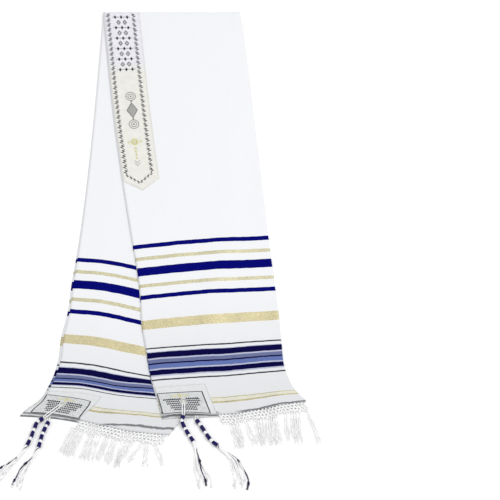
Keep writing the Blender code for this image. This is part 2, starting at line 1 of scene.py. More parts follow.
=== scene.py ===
"""Tallit prayer shawl: the cloth, neckband, corner patches, fringes and corner tassels that show.

Each piece is built in millimetres, with the middle of the fold across the cloth as its origin, and is
then moved to the part's own origin in metres. The tables are those of the part's source.
"""

import math
from collections import namedtuple

import bmesh
import bpy
import numpy as np
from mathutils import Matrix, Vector


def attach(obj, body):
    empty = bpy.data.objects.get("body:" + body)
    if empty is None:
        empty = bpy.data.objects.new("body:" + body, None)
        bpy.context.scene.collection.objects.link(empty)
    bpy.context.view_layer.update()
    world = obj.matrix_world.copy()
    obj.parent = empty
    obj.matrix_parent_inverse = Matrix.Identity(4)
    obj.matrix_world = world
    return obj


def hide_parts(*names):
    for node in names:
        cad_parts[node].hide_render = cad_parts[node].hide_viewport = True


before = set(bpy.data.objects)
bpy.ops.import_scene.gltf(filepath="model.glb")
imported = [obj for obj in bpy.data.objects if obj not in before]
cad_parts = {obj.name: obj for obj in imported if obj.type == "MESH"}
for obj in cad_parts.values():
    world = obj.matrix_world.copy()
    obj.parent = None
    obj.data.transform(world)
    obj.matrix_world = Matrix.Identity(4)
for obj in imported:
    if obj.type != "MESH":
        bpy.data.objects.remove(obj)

bl_info = {
    "name": "Tallit Prayer Shawl",
    "version": (1, 0, 0),
    "blender": (4, 5, 0),
    "location": "3D View > Sidebar > Tallit",
    "description": "Builds a striped, fringed prayer shawl with wound corner tassels, folded and laid flat",
    "category": "Add Mesh",
}

MM = 0.001

# Where the middle of the fold lies, seen from the part's own origin
FOLD_MIDDLE = np.array((19.271, 532.954, 0.0))

# The woven cloth
CLOTH_WIDTH = 560.0
FOLDED_WIDTH = CLOTH_WIDTH / 2
CLOTH_WALL = 1.2
LAYER_PITCH = 1.9
SEAM_GAP = 0.3
EDGE_PUFF = 1.2
EDGE_PUFF_REACH = 14.0
DROP_START = 10.0
DROP_REACH = 60.0
MIDDLE_LIFT = 1.4
MIDDLE_LIFT_REACH = 30.0
UNDER_HEM_SHOWS = 8.0
UNDER_SHOWS_UP_TO = 0.6
ROWS_STRAIGHTEN = 300.0

# Sewn-on pieces
SEWN_INSET = 1.5
SEWN_GAP = 0.1
BAND_WIDTH = 73.0
BAND_END = 528.0
BAND_TIP = 26.0
BAND_CORNER = 3.0
BAND_TURN_UNDER = math.radians(128)
PATCH_WIDTH = 106.0
PATCH_HEIGHT = 62.0
EYELET_RADIUS = 4.2
EYELET_ACROSS = 51.0
EYELET_UP = 27.0

# The stitches along the edges of what is sewn on
STITCH_RADIUS = 0.24
STITCH_LIFT = 0.14
STITCH_DIP = 0.15

# Where the woven frame of each patch lies: its left edge at the bottom and the top, and its other edges
PatchFrame = namedtuple("PatchFrame", "left_low left_high low high_left high_right")

PATCH_FRAMES = {
    "front": PatchFrame(2.8, 2.8, 2.4, 48.5, 46.0),
    "back": PatchFrame(14.0, 2.8, 2.4, 52.0, 42.5),
}
FRAME_WIDTH = 92.5
FRAME_HEIGHT = 44.0

# The knotted heading under each hem
HEADING_STARTS = 111.5
HEADING_HEIGHT = 22.0
UNDER_STRAND_REST = 0.95
UPPER_STRAND_REST = 2.55

# The corner tassels
Winding = namedtuple("Winding", "length radius")
KNOT_RADIUS = 4.8
WINDINGS = (Winding(8.0, KNOT_RADIUS), Winding(12.5, 4.3), Winding(12.5, 4.2), Winding(12.0, 4.2))
WHITE_LENGTH = 6.5
WHITE_RADIUS = 3.3
CORD_REST = 1.9
BRIDLE_SPREAD = 2.4
KNOT_COMES_DOWN = 24.0
KNOT_PASSES_HEM = 4.0

# A row of the cloth, from its left end to its right end. from_hem is measured along the cloth, and sag is
# how far the row's middle hangs towards the hem.
Section = namedtuple("Section", "from_hem left_x left_y right_x right_y sag under_shows")

FRONT_SECTIONS = (
    Section(-24, -5, -935, 292, -904, 13, 1),
    Section(0, -11, -913, 283, -882, 13, 1),
    Section(34, -20, -880, 259, -856, 5, 1),
    Section(81, -33, -836, 240, -813, 4, 1),
    Section(149, -45, -769, 232, -748, 3, 1),
    Section(203, -54, -717, 227, -693, 1, 1),
    Section(264, -58, -655, 220, -633, 0, 1),
    Section(320, -64, -600, 213, -577, 0, 1),
    Section(377, -74, -543, 206, -520, 0, 1),
    Section(660, -118, -255, 175, -240, 0, 1),
    Section(913, -146, 0, 146, 0, 0, 0),
)
BACK_SECTIONS = (
    Section(-24, -306, -926, -12, -978, 0, 2),
    Section(0, -296, -906, 2, -953, 0, 2),
    Section(34, -262, -879, 27, -920, 0, 3),
    Section(81, -239, -846, 45, -886, 0, 5),
    Section(149, -221, -791, 58, -838, 0, 5),
    Section(203, -216, -741, 63, -786, 0, 5),
    Section(264, -204, -681, 73, -728, 0, 4),
    Section(320, -198, -624, 79, -668, 0, 4),
    Section(377, -191, -569, 86, -614, 0, 3),
    Section(660, -165, -300, 118, -312, 0, 1),
    Section(945, -146, 0, 146, 0, 0, 0),
)

# How far each row arches towards the fold, and in how many half waves
FRONT_BOW = (3.0, 1)
BACK_BOW = (4.5, 2)

# Soft folds in the upper layers: where each one's middle is, which way it runs, and its sizes
Fold = namedtuple("Fold", "x y degrees half_length half_width height")

FRONT_FOLDS = (
    Fold(60, -240, 80, 170, 46, 2.2),
    Fold(178, -430, 84, 120, 34, 1.8),
    Fold(42, -668, 6, 75, 26, 1.6),
    Fold(150, -700, 78, 90, 30, 1.8),
    Fold(225, -872, 64, 44, 20, 3.0),
    Fold(140, -884, 82, 40, 22, 2.4),
    Fold(36, -912, 3, 42, 20, 3.0),
    Fold(-46, -74, 76, 62, 15, 0.9),
    Fold(52, -52, 96, 44, 13, 0.6),
    Fold(112, -96, 82, 70, 17, 0.8),
    Fold(8, -402, 74, 96, 18, 0.8),
    Fold(122, -318, 99, 74, 20, 0.7),
    Fold(-34, -508, 86, 54, 13, 0.6),
    Fold(96, -566, 12, 58, 14, 0.6),
    Fold(72, -742, 5, 66, 11, 0.6),
    Fold(194, -782, 101, 46, 13, 0.9),
    Fold(-2, -796, 64, 36, 12, 0.8),
    Fold(184, -890, 86, 28, 10, 1.4),
    Fold(98, -896, 80, 24, 9, 1.0),
    Fold(258, -884, 97, 22, 8, 1.1),
)
BACK_FOLDS = (
    Fold(-166, -250, 84, 130, 10, 0.8),
    Fold(-176, -862, 108, 48, 22, 3.4),
    Fold(-142, -690, 96, 90, 26, 1.8),
    Fold(-106, -912, 78, 40, 22, 2.6),
    Fold(-238, -912, -8, 36, 20, 3.0),
    Fold(-122, -428, 82, 116, 20, 1.0),
    Fold(-196, -596, 88, 84, 15, 0.8),
    Fold(-64, -772, 101, 56, 15, 0.9),
    Fold(-226, -778, 97, 44, 11, 0.7),
    Fold(-148, -806, 22, 46, 12, 0.6),
    Fold(-58, -932, 76, 26, 10, 1.2),
    Fold(-190, -904, 101, 24, 9, 1.0),
    Fold(20, -520, 88, 120, 30, 0.8),
)

# Tassels of the fringe. at: place along the hem from the selvedge; lean: how far the ends lie to the right
Tassel = namedtuple("Tassel", "at strands root_pitch end_pitch lean reach")

FRONT_UPPER_TASSELS = (
    Tassel(131, 3, 4.2, 3.6, 13, 52),
    Tassel(159, 2, 4.2, 5.5, 16, 49),
    Tassel(196, 7, 4.6, 4.4, 6, 56),
    Tassel(234, 2, 4.2, 3.6, 5, 59),
    Tassel(257, 3, 4.2, 3.6, 4, 67),
    Tassel(275, 2, 4.2, 4.6, 26, 67),
)
FRONT_UNDER_TASSELS = (
    Tassel(140, 3, 4.4, 4.4, 10, 46),
    Tassel(176, 3, 4.4, 4.4, 10, 50),
    Tassel(212, 4, 4.4, 4.4, 8, 56),
    Tassel(248, 3, 4.4, 4.4, 6, 56),
)
BACK_UPPER_TASSELS = (
    Tassel(106, 3, 4.4, 4.0, -24, 52),
    Tassel(124, 3, 4.4, 4.0, -22, 55),
    Tassel(143, 3, 4.4, 4.0, -20, 52),
    Tassel(172, 3, 4.4, 4.0, -20, 50),
    Tassel(190, 3, 4.4, 4.0, -17, 52),
    Tassel(222, 3, 4.4, 4.2, -30, 44),
    Tassel(240, 2, 4.4, 4.2, -29, 42),
    Tassel(267, 2, 4.2, 4.6, 14, 42),
)
BACK_UNDER_TASSELS = (
    Tassel(115, 3, 4.4, 4.2, -20, 50),
    Tassel(157, 3, 4.4, 4.2, -18, 52),
    Tassel(206, 3, 4.4, 4.2, -14, 54),
    Tassel(250, 3, 4.2, 4.2, -3, 48),
)

# Corner tassels. The winding runs through its points; the cords run on through theirs and spread.
CornerTassel = namedtuple("CornerTassel", "name half is_upper winding cords spread dark_cord")

CORNER_TASSELS = (
    CornerTassel("tzitzit_front_upper", "front", True,
                 ((33, -915), (30, -924), (35, -937), (44, -953), (54, -968)),
                 ((60, -990), (63, -1008), (67, -1028), (74, -1049), (76, -1068)), 26, 2),
    CornerTassel("tzitzit_front_under", "front", False,
                 ((60, -922), (72, -939), (82, -955), (93, -969), (104, -977)),
                 ((119, -992), (136, -1007), (144, -1026), (149, -1047), (148, -1070)), 28, 0),
    CornerTassel("tzitzit_back_upper", "back", True,
                 ((-254, -919), (-265, -926), (-272, -942), (-279, -962), (-286, -977)),
                 ((-295, -992), (-306, -1005), (-320, -1018), (-334, -1031), (-347, -1045)), 15, 6),
    CornerTassel("tzitzit_back_under", "back", False,
                 ((-243, -926), (-249, -938), (-255, -953), (-259, -969), (-262, -981)),
                 ((-270, -999), (-281, -1015), (-292, -1031), (-301, -1048), (-308, -1068)), 17, 7),
)

# Stripes of each end, by the row of the front half that each starts and ends at
Stripe = namedtuple("Stripe", "start end yarn")

DYED_STRIPES = (
    Stripe(77.5, 80.7, "dark"),
    Stripe(86.6, 89.2, "pale"),
    Stripe(89.2, 101.2, "navy"),
    Stripe(101.2, 104.6, "pale"),
    Stripe(104.6, 113.7, "slate_blue"),
    Stripe(113.7, 116.6, "navy"),
    Stripe(116.6, 124.8, "slate"),
    Stripe(124.8, 128.0, "pale"),
    Stripe(128.0, 139.2, "navy"),
    Stripe(139.2, 141.4, "pale"),
    Stripe(147.5, 150.7, "dark"),
    Stripe(258.9, 267.8, "blue"),
    Stripe(311.2, 329.8, "blue"),
    Stripe(372.2, 381.9, "blue"),
)
GOLD_STRIPES = (
    Stripe(21.8, 24.0, "hem_gold"),
    Stripe(24.0, 30.0, "pale_gold"),
    Stripe(30.0, 32.2, "hem_gold"),
    Stripe(193.5, 213.5, "wide_gold"),
    Stripe(284.5, 293.6, "gold"),
    Stripe(346.0, 354.4, "gold"),
)
STRIPES_REACH = 400.0

# The grey line by the hem, by distance from the middle of the cloth's width: where it fades out and where it
# is back, and how high above the hem its middle lies away from the patch and beside it.
# Beside the patch the line is partly painted shade of the gap under the patch's edge.
HEM_LINE_FADES = (118.0, 138.0)
HEM_LINE_RETURNS = (164.0, 174.0)
HEM_LINE_HEIGHTS = (2.6, 4.9)

# How far the back half's stripes lie nearer the hem than its rows do, where ripples take up its cloth: at
# the middle of its width, and at its folded edge
TakeUp = namedtuple("TakeUp", "from_hem middle edge")

BACK_TAKE_UP = (
    TakeUp(-30, 6.0, -5.0),
    TakeUp(0, 5.0, -7.0),
    TakeUp(30, -1.5, -14.0),
    TakeUp(77, 3.5, -11.0),
    TakeUp(87, 9.0, -9.0),
    TakeUp(102, 14.5, -3.0),
    TakeUp(123, 12.0, -2.5),
    TakeUp(144, 5.5, 0.5),
    TakeUp(201, 3.8, 0.5),
    TakeUp(262, 2.0, 0.0),
    TakeUp(320, 0.8, 0.5),
    TakeUp(377, 0.0, 1.5),
    TakeUp(500, 0.0, 0.0),
)
TAKE_UP_FROM = 110.0
TAKE_UP_TO = 215.0


def linear(text):
    """An sRGB colour in hex, as linear numbers."""
    parts = [int(text[start:start + 2], 16) / 255 for start in (1, 3, 5)]
    return tuple(part / 12.92 if part <= 0.04045 else ((part + 0.055) / 1.055) ** 2.4 for part in parts)


def colour_property(name, text, description):
    return bpy.props.FloatVectorProperty(name=name, description=description, subtype="COLOR", size=3,
                                         min=0, max=1, default=linear(text))


class TallitClothSettings(bpy.types.PropertyGroup):
    """The woven cloth."""

    white: colour_property("White", "#e7e8ea", "Undyed ground of the cloth")
    blue: colour_property("Blue", "#000366", "Dyed blue stripes")
    navy: colour_property("Navy", "#05033e", "Darkest stripes of the wide group")
    slate: colour_property("Slate", "#6a7197", "Grey-blue stripe of the wide group, away from the hem")
    slate_blue: colour_property("Slate blue", "#6272aa", "Grey-blue stripe of the wide group, by the hem")
    pale: colour_property("Pale grey", "#b9bed3", "Edges of the grey-blue stripes")
    dark: colour_property("Dark", "#3c3c46", "Thin dark lines")
    # This grey also paints the shade in the gap under each corner patch's edge
    hem_grey_and_shade: colour_property("Hem grey", "#77797b", "Grey line woven beside the hem")
    wide_gold: colour_property("Wide gold", "#d2c8a0", "Wide stripe of gold thread")
    gold: colour_property("Gold", "#cdc8a8", "Narrow stripes of gold thread")
    hem_gold: colour_property("Hem gold", "#c0b68e", "The two thin gold lines beside the hem")
    pale_gold: colour_property("Pale gold", "#e8e4c6", "Between the two gold lines beside the hem")
    grid_step: bpy.props.FloatProperty(name="Grid step", description="Distance between the cloth's points",
                                       unit="LENGTH", default=5.0 * MM, min=2 * MM, max=20 * MM)


class TallitTrimSettings(bpy.types.PropertyGroup):
    """The neckband and the corner patches."""

    satin: colour_property("Satin", "#e1e0d9", "Ground of the neckband")
    satin_top: colour_property("Satin, top", "#e0dfe5", "Ground of the neckband near the fold")
    patch: colour_property("Patch", "#d6d8d9", "Ground of the corner patches")
    patch_field: colour_property("Patch field", "#8d9194", "Small figures inside a patch's frame")
    dark_thread: colour_property("Dark thread", "#33333a", "Borders and small marks")
    grey_thread: colour_property("Grey thread", "#6f7072", "Outlined ornament of the neckband")
    gold_thread: colour_property("Gold thread", "#e3dfa6", "Rosettes")
    band_wall: bpy.props.FloatProperty(name="Neckband wall", description="Thickness of the neckband",
                                       unit="LENGTH", default=0.8 * MM, min=0.4 * MM, max=1.2 * MM)
    stitch_pitch: bpy.props.FloatProperty(name="Stitch pitch", description="Distance between stitches",
                                          unit="LENGTH", default=3.4 * MM, min=2 * MM, max=8 * MM)


class TallitYarnSettings(bpy.types.PropertyGroup):
    """The fringe and the corner tassels."""

    fringe: colour_property("Fringe", "#fafafa", "Yarn of the fringe")
    cord: colour_property("Cord", "#fafafa", "White cords of the corner tassels")
    wound: colour_property("Wound cord", "#160f5e", "Blue turns of the corner tassels")
    thread: colour_property("Blue thread", "#1a1740", "The one dark cord of each corner tassel")
    fringe_radius: bpy.props.FloatProperty(name="Fringe yarn radius", description="Half a yarn's width",
                                           unit="LENGTH", default=0.52 * MM, min=0.2 * MM, max=1.5 * MM)
    cord_radius: bpy.props.FloatProperty(name="Cord radius", description="Half the width of a tassel's cord",
                                         unit="LENGTH", default=1.3 * MM, min=0.6 * MM, max=2 * MM)


class TallitStageSettings(bpy.types.PropertyGroup):
    """The floor, the lights and the camera."""

    floor: colour_property("Floor", "#fbfbfb", "Colour of the surface that the shawl lies on")
    distance: bpy.props.FloatProperty(name="Camera distance", description="From the camera to its aim",
                                      unit="LENGTH", default=7.0, min=1, max=20)
    elevation: bpy.props.FloatProperty(name="Camera elevation", description="Its angle above the floor",
                                       subtype="ANGLE", default=math.radians(68), min=0, max=math.pi / 2)


class TallitSettings(bpy.types.PropertyGroup):
    """Every setting of the shawl."""

    cloth: bpy.props.PointerProperty(type=TallitClothSettings)
    trim: bpy.props.PointerProperty(type=TallitTrimSettings)
    yarn: bpy.props.PointerProperty(type=TallitYarnSettings)
    stage: bpy.props.PointerProperty(type=TallitStageSettings)


def smooth_step(value):
    value = np.clip(value, 0.0, 1.0)
    return value * value * (3 - 2 * value)


def normalized(vectors):
    return vectors / np.linalg.norm(vectors, axis=-1, keepdims=True)


def curve_through(places, values, at):
    """The value at a place on a smooth curve through a table's rows."""
    index = np.clip(np.searchsorted(places, at) - 1, 0, len(places) - 2)
    slopes = np.gradient(values, places)
    span = places[index + 1] - places[index]
    t = (at - places[index]) / span
    return (
        values[index] * (1 + 2 * t) * (1 - t) ** 2
        + slopes[index] * span * t * (1 - t) ** 2
        + values[index + 1] * t * t * (3 - 2 * t)
        + slopes[index + 1] * span * t * t * (t - 1)
    )


class Half:
    """One half of the folded shawl: where its rows lie seen from above, and its soft folds."""

    def __init__(self, sections, bow, folds):
        self.places = np.array([row.from_hem for row in sections], float)
        self.columns = {
            name: np.array([getattr(row, name) for row in sections], float)
            for name in Section._fields[1:]
        }
        self.length = float(self.places[-1])
        self.bow_height, self.bow_waves = bow
        self.folds = folds
        samples = np.linspace(self.places[0], self.length, 80)
        edge_x, edge_y = self.column("right_x", samples), self.column("right_y", samples)
        order = np.argsort(edge_y)
        self.edge_x, self.edge_y = edge_x[order], edge_y[order]

    def column(self, name, from_hem):
        return curve_through(self.places, self.columns[name], from_hem)

    def plan(self, across, from_hem, is_upper):
        """Where points lie seen from above. across is 0 at the selvedge and 1 at the folded edge."""
        if not is_upper:
            near_hem = 1 - smooth_step(from_hem / (self.length * UNDER_SHOWS_UP_TO))
            from_hem = from_hem - UNDER_HEM_SHOWS * (1 - across) * near_hem
        x = self.column("left_x", from_hem) * (1 - across) + self.column("right_x", from_hem) * across
        y = self.column("left_y", from_hem) * (1 - across) + self.column("right_y", from_hem) * across
        flat_at_fold = smooth_step((self.length - from_hem) / ROWS_STRAIGHTEN)
        y = y + self.bow_height * np.sin(math.pi * self.bow_waves * across) * flat_at_fold
        y = y - self.column("sag", from_hem) * np.sin(math.pi * across) ** 2
        if not is_upper:
            x = x - self.column("under_shows", from_hem) * (1 - across)
        return x, y

    def under_hem_y(self, x):
        """Where the under layer's hem lies, seen from above, at a place from left to right."""
        hem_x, hem_y = self.plan(np.linspace(0, 1, 21), np.zeros(21), False)
        return float(np.interp(x, hem_x, hem_y))

    def past_edge(self, x, y):
        """How far points lie to the right of the folded edge."""
        return x - np.interp(y, self.edge_y, self.edge_x)

    def swelling(self, x, y):
        """How far the upper layer lies above the under one, beyond the plain pitch."""
        height = EDGE_PUFF * np.exp(-((np.minimum(0.0, self.past_edge(x, y)) / EDGE_PUFF_REACH) ** 2))
        height = height + 0.16 * np.sin(x / 19 + 1.6 * np.sin(y / 57)) * np.sin(y / 31 + 1.1 * np.sin(x / 43))
        for fold in self.folds:
            angle = math.radians(fold.degrees)
            along = (x - fold.x) * math.cos(angle) + (y - fold.y) * math.sin(angle)
            beside = (y - fold.y) * math.cos(angle) - (x - fold.x) * math.sin(angle)
            height = height + fold.height * np.exp(
                -((along / fold.half_length) ** 2) - (beside / fold.half_width) ** 2
            )
        return height


FRONT = Half(FRONT_SECTIONS, FRONT_BOW, FRONT_FOLDS)
BACK = Half(BACK_SECTIONS, BACK_BOW, BACK_FOLDS)
HALVES = {"front": FRONT, "back": BACK}


def layer_height(half, x, y, is_upper):
    """Height of the middle of a layer's wall."""
    under = CLOTH_WALL / 2
    if half is FRONT:
        on_back = 1 - smooth_step((BACK.past_edge(x, y) - DROP_START) / DROP_REACH)
        stack = LAYER_PITCH * 2 + BACK.swelling(x, y)
        lift = MIDDLE_LIFT * np.exp(-((np.minimum(0.0, y) / MIDDLE_LIFT_REACH) ** 2))
        under = under + (stack + lift) * on_back
    return under + (LAYER_PITCH + half.swelling(x, y) if is_upper else 0)


def layer_point(half, across, from_hem, is_upper):
    x, y = half.plan(np.asarray(across, float), np.asarray(from_hem, float), is_upper)
    return np.stack(np.broadcast_arrays(x, y, layer_height(half, x, y, is_upper)), axis=-1)


def edge_point(half, turn, from_hem):
    """Points on the rounded edge of a half. turn is 0 at its upper layer and pi at its under one."""
    upper = layer_point(half, 1.0, from_hem, True)
    under = layer_point(half, 1.0, from_hem, False)
    radius = (upper[..., 2] - under[..., 2]) / 2
    along = layer_point(half, 1.0, from_hem + 1, True) - layer_point(half, 1.0, from_hem - 1, True)
    along[..., 2] = 0
    along = normalized(along)
    middle = (upper + under) / 2
    return np.stack((
        middle[..., 0] + along[..., 1] * radius * math.sin(turn),
        middle[..., 1] - along[..., 0] * radius * math.sin(turn),
        middle[..., 2] + radius * math.cos(turn),
    ), axis=-1)


def cloth_point(half, place, from_hem):
    """Points at a place round the folded cloth: a side of it and how far across, or an angle round its edge.

    Side "a" carries the neckband. It is the upper layer of the front half and the under one of the back.
    """
    side, value = place
    if side == "edge":
        return edge_point(half, value if half is FRONT else math.pi - value, from_hem)
    return layer_point(half, value, from_hem, (side == "a") == (half is FRONT))


def bend_point(place, angle, lift=0.0):
    """Points on the fold across the middle. angle is 0 where the front half starts and pi at the back."""
    front = cloth_point(FRONT, place, np.array(FRONT.length))
    back = cloth_point(BACK, place, np.array(BACK.length))
    middle = (front + back) / 2
    radius = (front[..., 2] - back[..., 2]) / 2 + lift
    angle = np.asarray(angle, float)
    return np.stack(np.broadcast_arrays(
        middle[..., 0],
        middle[..., 1] + radius * np.sin(angle),
        middle[..., 2] + radius * np.cos(angle),
    ), axis=-1)


def lifted_point(half, across, from_hem, lift):
    """Points above the upper layer of a half, square to its surface."""
    step = 2.0
    here = layer_point(half, across, from_hem, True)
    to_right = layer_point(half, across + step / FOLDED_WIDTH, from_hem, True) - here
    to_fold = layer_point(half, across, from_hem + step, True) - here
    return here + normalized(np.cross(to_right, to_fold)) * lift


def bend_radius(place, lift):
    return float(bend_point(place, 0.0, lift)[2] - bend_point(place, math.pi, lift)[2]) / 2


def band_point(column, from_hem, lift):
    """A point on or above the side that carries the neckband, from the front's hem to round the fold."""
    across = column / FOLDED_WIDTH
    if from_hem <= FRONT.length:
        return lifted_point(FRONT, across, from_hem, lift)
    place = ("a", across)
    return bend_point(place, (from_hem - FRONT.length) / bend_radius(place, lift), lift)


def eyelet_point(half):
    """The middle of the eyelet, on top of the cloth."""
    return lifted_point(half, EYELET_ACROSS / FOLDED_WIDTH, EYELET_UP, CLOTH_WALL / 2)


def add_node(tree, kind, links, **settings):
    """Adds a node. links gives the value of each socket, or the socket that is linked to it."""
    node = tree.nodes.new("ShaderNode" + kind)
    for name, value in settings.items():
        setattr(node, name, value)
    for name, value in links.items():
        if isinstance(value, bpy.types.NodeSocket):
            tree.links.new(value, node.inputs[name])
        else:
            node.inputs[name].default_value = value
    return node


def new_material(name, roughness, sheen=0.0, specular=0.15):
    """A material with a plain shader. Returns it with its tree and shader."""
    material = bpy.data.materials.new(name)
    material.use_nodes = True
    shader = material.node_tree.nodes["Principled BSDF"]
    shader.inputs["Roughness"].default_value = roughness
    shader.inputs["Specular IOR Level"].default_value = specular
    shader.inputs["Sheen Weight"].default_value = sheen
    shader.inputs["Sheen Roughness"].default_value = 0.6
    return material, material.node_tree, shader


def fill_ramp(ramp, stops):
    """Makes a colour ramp stepped, with stops from pairs of a position and a colour."""
    ramp.interpolation = "CONSTANT"
    while len(ramp.elements) < len(stops):
        ramp.elements.new(1.0)
    for element, (position, colour) in zip(ramp.elements, stops):
        element.position = position
        element.color = colour


def stripe_stops(stripes, colours, between):
    """Stops of a stepped ramp along the cloth: each stripe's colour, and what lies between them."""
    stops = [(0.0, between)]
    for index, stripe in enumerate(stripes):
        stops.append((stripe.start / STRIPES_REACH, colours[stripe.yarn]))
        followed = index + 1 < len(stripes) and stripes[index + 1].start <= stripe.end
        if not followed:
            stops.append((stripe.end / STRIPES_REACH, between))
    return stops


def streaked_dye(tree, place, along, colours):
    """The dyed stripes. The dye took unevenly along the yarns, in streaks about 1 mm by 9 mm."""
    dyed = add_node(tree, "ValToRGB", {"Fac": along})
    fill_ramp(dyed.color_ramp, stripe_stops(DYED_STRIPES, colours, colours["white"]))
    drawn_out = add_node(tree, "VectorMath", {0: place, 1: (0.12, 1.0, 1.0)}, operation="MULTIPLY")
    streaks = add_node(tree, "TexNoise", {"Vector": drawn_out.outputs["Vector"], "Scale": 900.0,
                                          "Detail": 2.0})
    # Dark yarns show the streaks most, and undyed ones not at all
    depth = add_node(tree, "RGBToBW", {"Color": dyed.outputs["Color"]})
    uneven = add_node(tree, "MapRange", {"Value": depth.outputs["Val"], "From Max": 0.7, "To Min": 0.9,
                                         "To Max": 0.0})
    centred = add_node(tree, "Math", {0: streaks.outputs["Fac"], 1: 0.45}, operation="SUBTRACT")
    streak = add_node(tree, "Math", {0: centred.outputs[0], 1: uneven.outputs["Result"], 2: 1.0},
                      operation="MULTIPLY_ADD")
    streaked = add_node(tree, "VectorMath", {0: dyed.outputs["Color"], "Scale": streak.outputs[0]},
                        operation="SCALE")
    return streaked.outputs["Vector"]


def glinting_gold(tree, place, along, colours):
    """The gold stripes' colour and share. Flat thread catches the light in specks about 2 mm across."""
    gold = add_node(tree, "ValToRGB", {"Fac": along})
    fill_ramp(gold.color_ramp, stripe_stops(GOLD_STRIPES, colours, colours["white"]))
    is_gold = add_node(tree, "ValToRGB", {"Fac": along})
    shares = dict.fromkeys(("wide_gold", "gold", "hem_gold"), (1, 1, 1, 1))
    shares["pale_gold"] = (0.6, 0.6, 0.6, 1)
    fill_ramp(is_gold.color_ramp, stripe_stops(GOLD_STRIPES, shares, (0, 0, 0, 1)))
    specks = add_node(tree, "TexVoronoi", {"Vector": place, "Scale": 520.0, "Randomness": 1.0})
    glint = add_node(tree, "MapRange", {"Value": specks.outputs["Color"], "To Min": 0.74, "To Max": 1.12})
    speckled = add_node(tree, "VectorMath", {0: gold.outputs["Color"], "Scale": glint.outputs["Result"]},
                        operation="SCALE")
    return speckled.outputs["Vector"], is_gold.outputs["Color"]


def striped_weave(cloth):
    """Fine woven wool blend: matt, with soft edges to its stripes and glinting gold thread."""
    material, tree, shader = new_material("woven_wool_blend_striped", 0.86, 0.0, 0.06)
    place = add_node(tree, "UVMap", {}, uv_map="cloth").outputs["UV"]
    parts = add_node(tree, "SeparateXYZ", {"Vector": place})
    # Weft yarns wander by a third of a millimetre
    wander = add_node(tree, "TexNoise", {"Vector": place, "Scale": 60.0, "Detail": 2.0})
    shift = add_node(tree, "MapRange", {"Value": wander.outputs["Fac"], "From Min": 0.3, "From Max": 0.7,
                                        "To Min": -0.0004, "To Max": 0.0004})
    from_hem = add_node(tree, "Math", {0: parts.outputs["Y"], 1: shift.outputs["Result"]}, operation="ADD")
    along = add_node(tree, "Math", {0: from_hem.outputs[0], 1: 1000 / STRIPES_REACH}, operation="MULTIPLY")
    yarns = ("white", "blue", "navy", "slate", "slate_blue", "pale", "dark", "wide_gold", "gold", "hem_gold",
             "pale_gold")
    colours = {name: (*getattr(cloth, name), 1) for name in yarns}
    dyed = streaked_dye(tree, place, along.outputs[0], colours)
    gold, is_gold = glinting_gold(tree, place, along.outputs[0], colours)
    cloth_colour = add_node(tree, "Mix", {"Factor": is_gold, "A": dyed, "B": gold}, data_type="RGBA")
    # Painted shade: the cloth is drawn a little darker towards its hems, standing in for the shade that lies
    # over its lower part
    painted_hem_shade = add_node(tree, "MapRange", {"Value": parts.outputs["Y"], "From Min": -40 * MM,
                                          "From Max": 330 * MM, "To Min": 0.84, "To Max": 1.0},
                       interpolation_type="SMOOTHSTEP")
    hem_shaded_colour = add_node(tree, "VectorMath", {0: cloth_colour.outputs[2], "Scale": painted_hem_shade.outputs["Result"]},
                     operation="SCALE")
    shader_colour = add_hem_line(tree, cloth, place, parts, hem_shaded_colour.outputs["Vector"])
    # Threads are 0.6 mm apart, drawn as crossing ribs
    ribs = [add_node(tree, "TexWave", {"Vector": place, "Scale": 1 / (0.6 * MM) / 20, "Distortion": 0.4,
                                       "Detail": 1.0}, bands_direction=way).outputs["Fac"] for way in "XY"]
    weave = add_node(tree, "Math", {0: ribs[0], 1: ribs[1]}, operation="ADD")
    bump = add_node(tree, "Bump", {"Height": weave.outputs[0], "Strength": 0.25, "Distance": 0.15 * MM})
    shine = add_node(tree, "MapRange", {"Value": is_gold, "To Min": 0.86, "To Max": 0.42})
    metal = add_node(tree, "MapRange", {"Value": is_gold, "To Min": 0.0, "To Max": 0.35})
    tree.links.new(shader_colour, shader.inputs["Base Color"])
    tree.links.new(shine.outputs["Result"], shader.inputs["Roughness"])
    tree.links.new(metal.outputs["Result"], shader.inputs["Metallic"])
    tree.links.new(bump.outputs["Normal"], shader.inputs["Normal"])
    return material


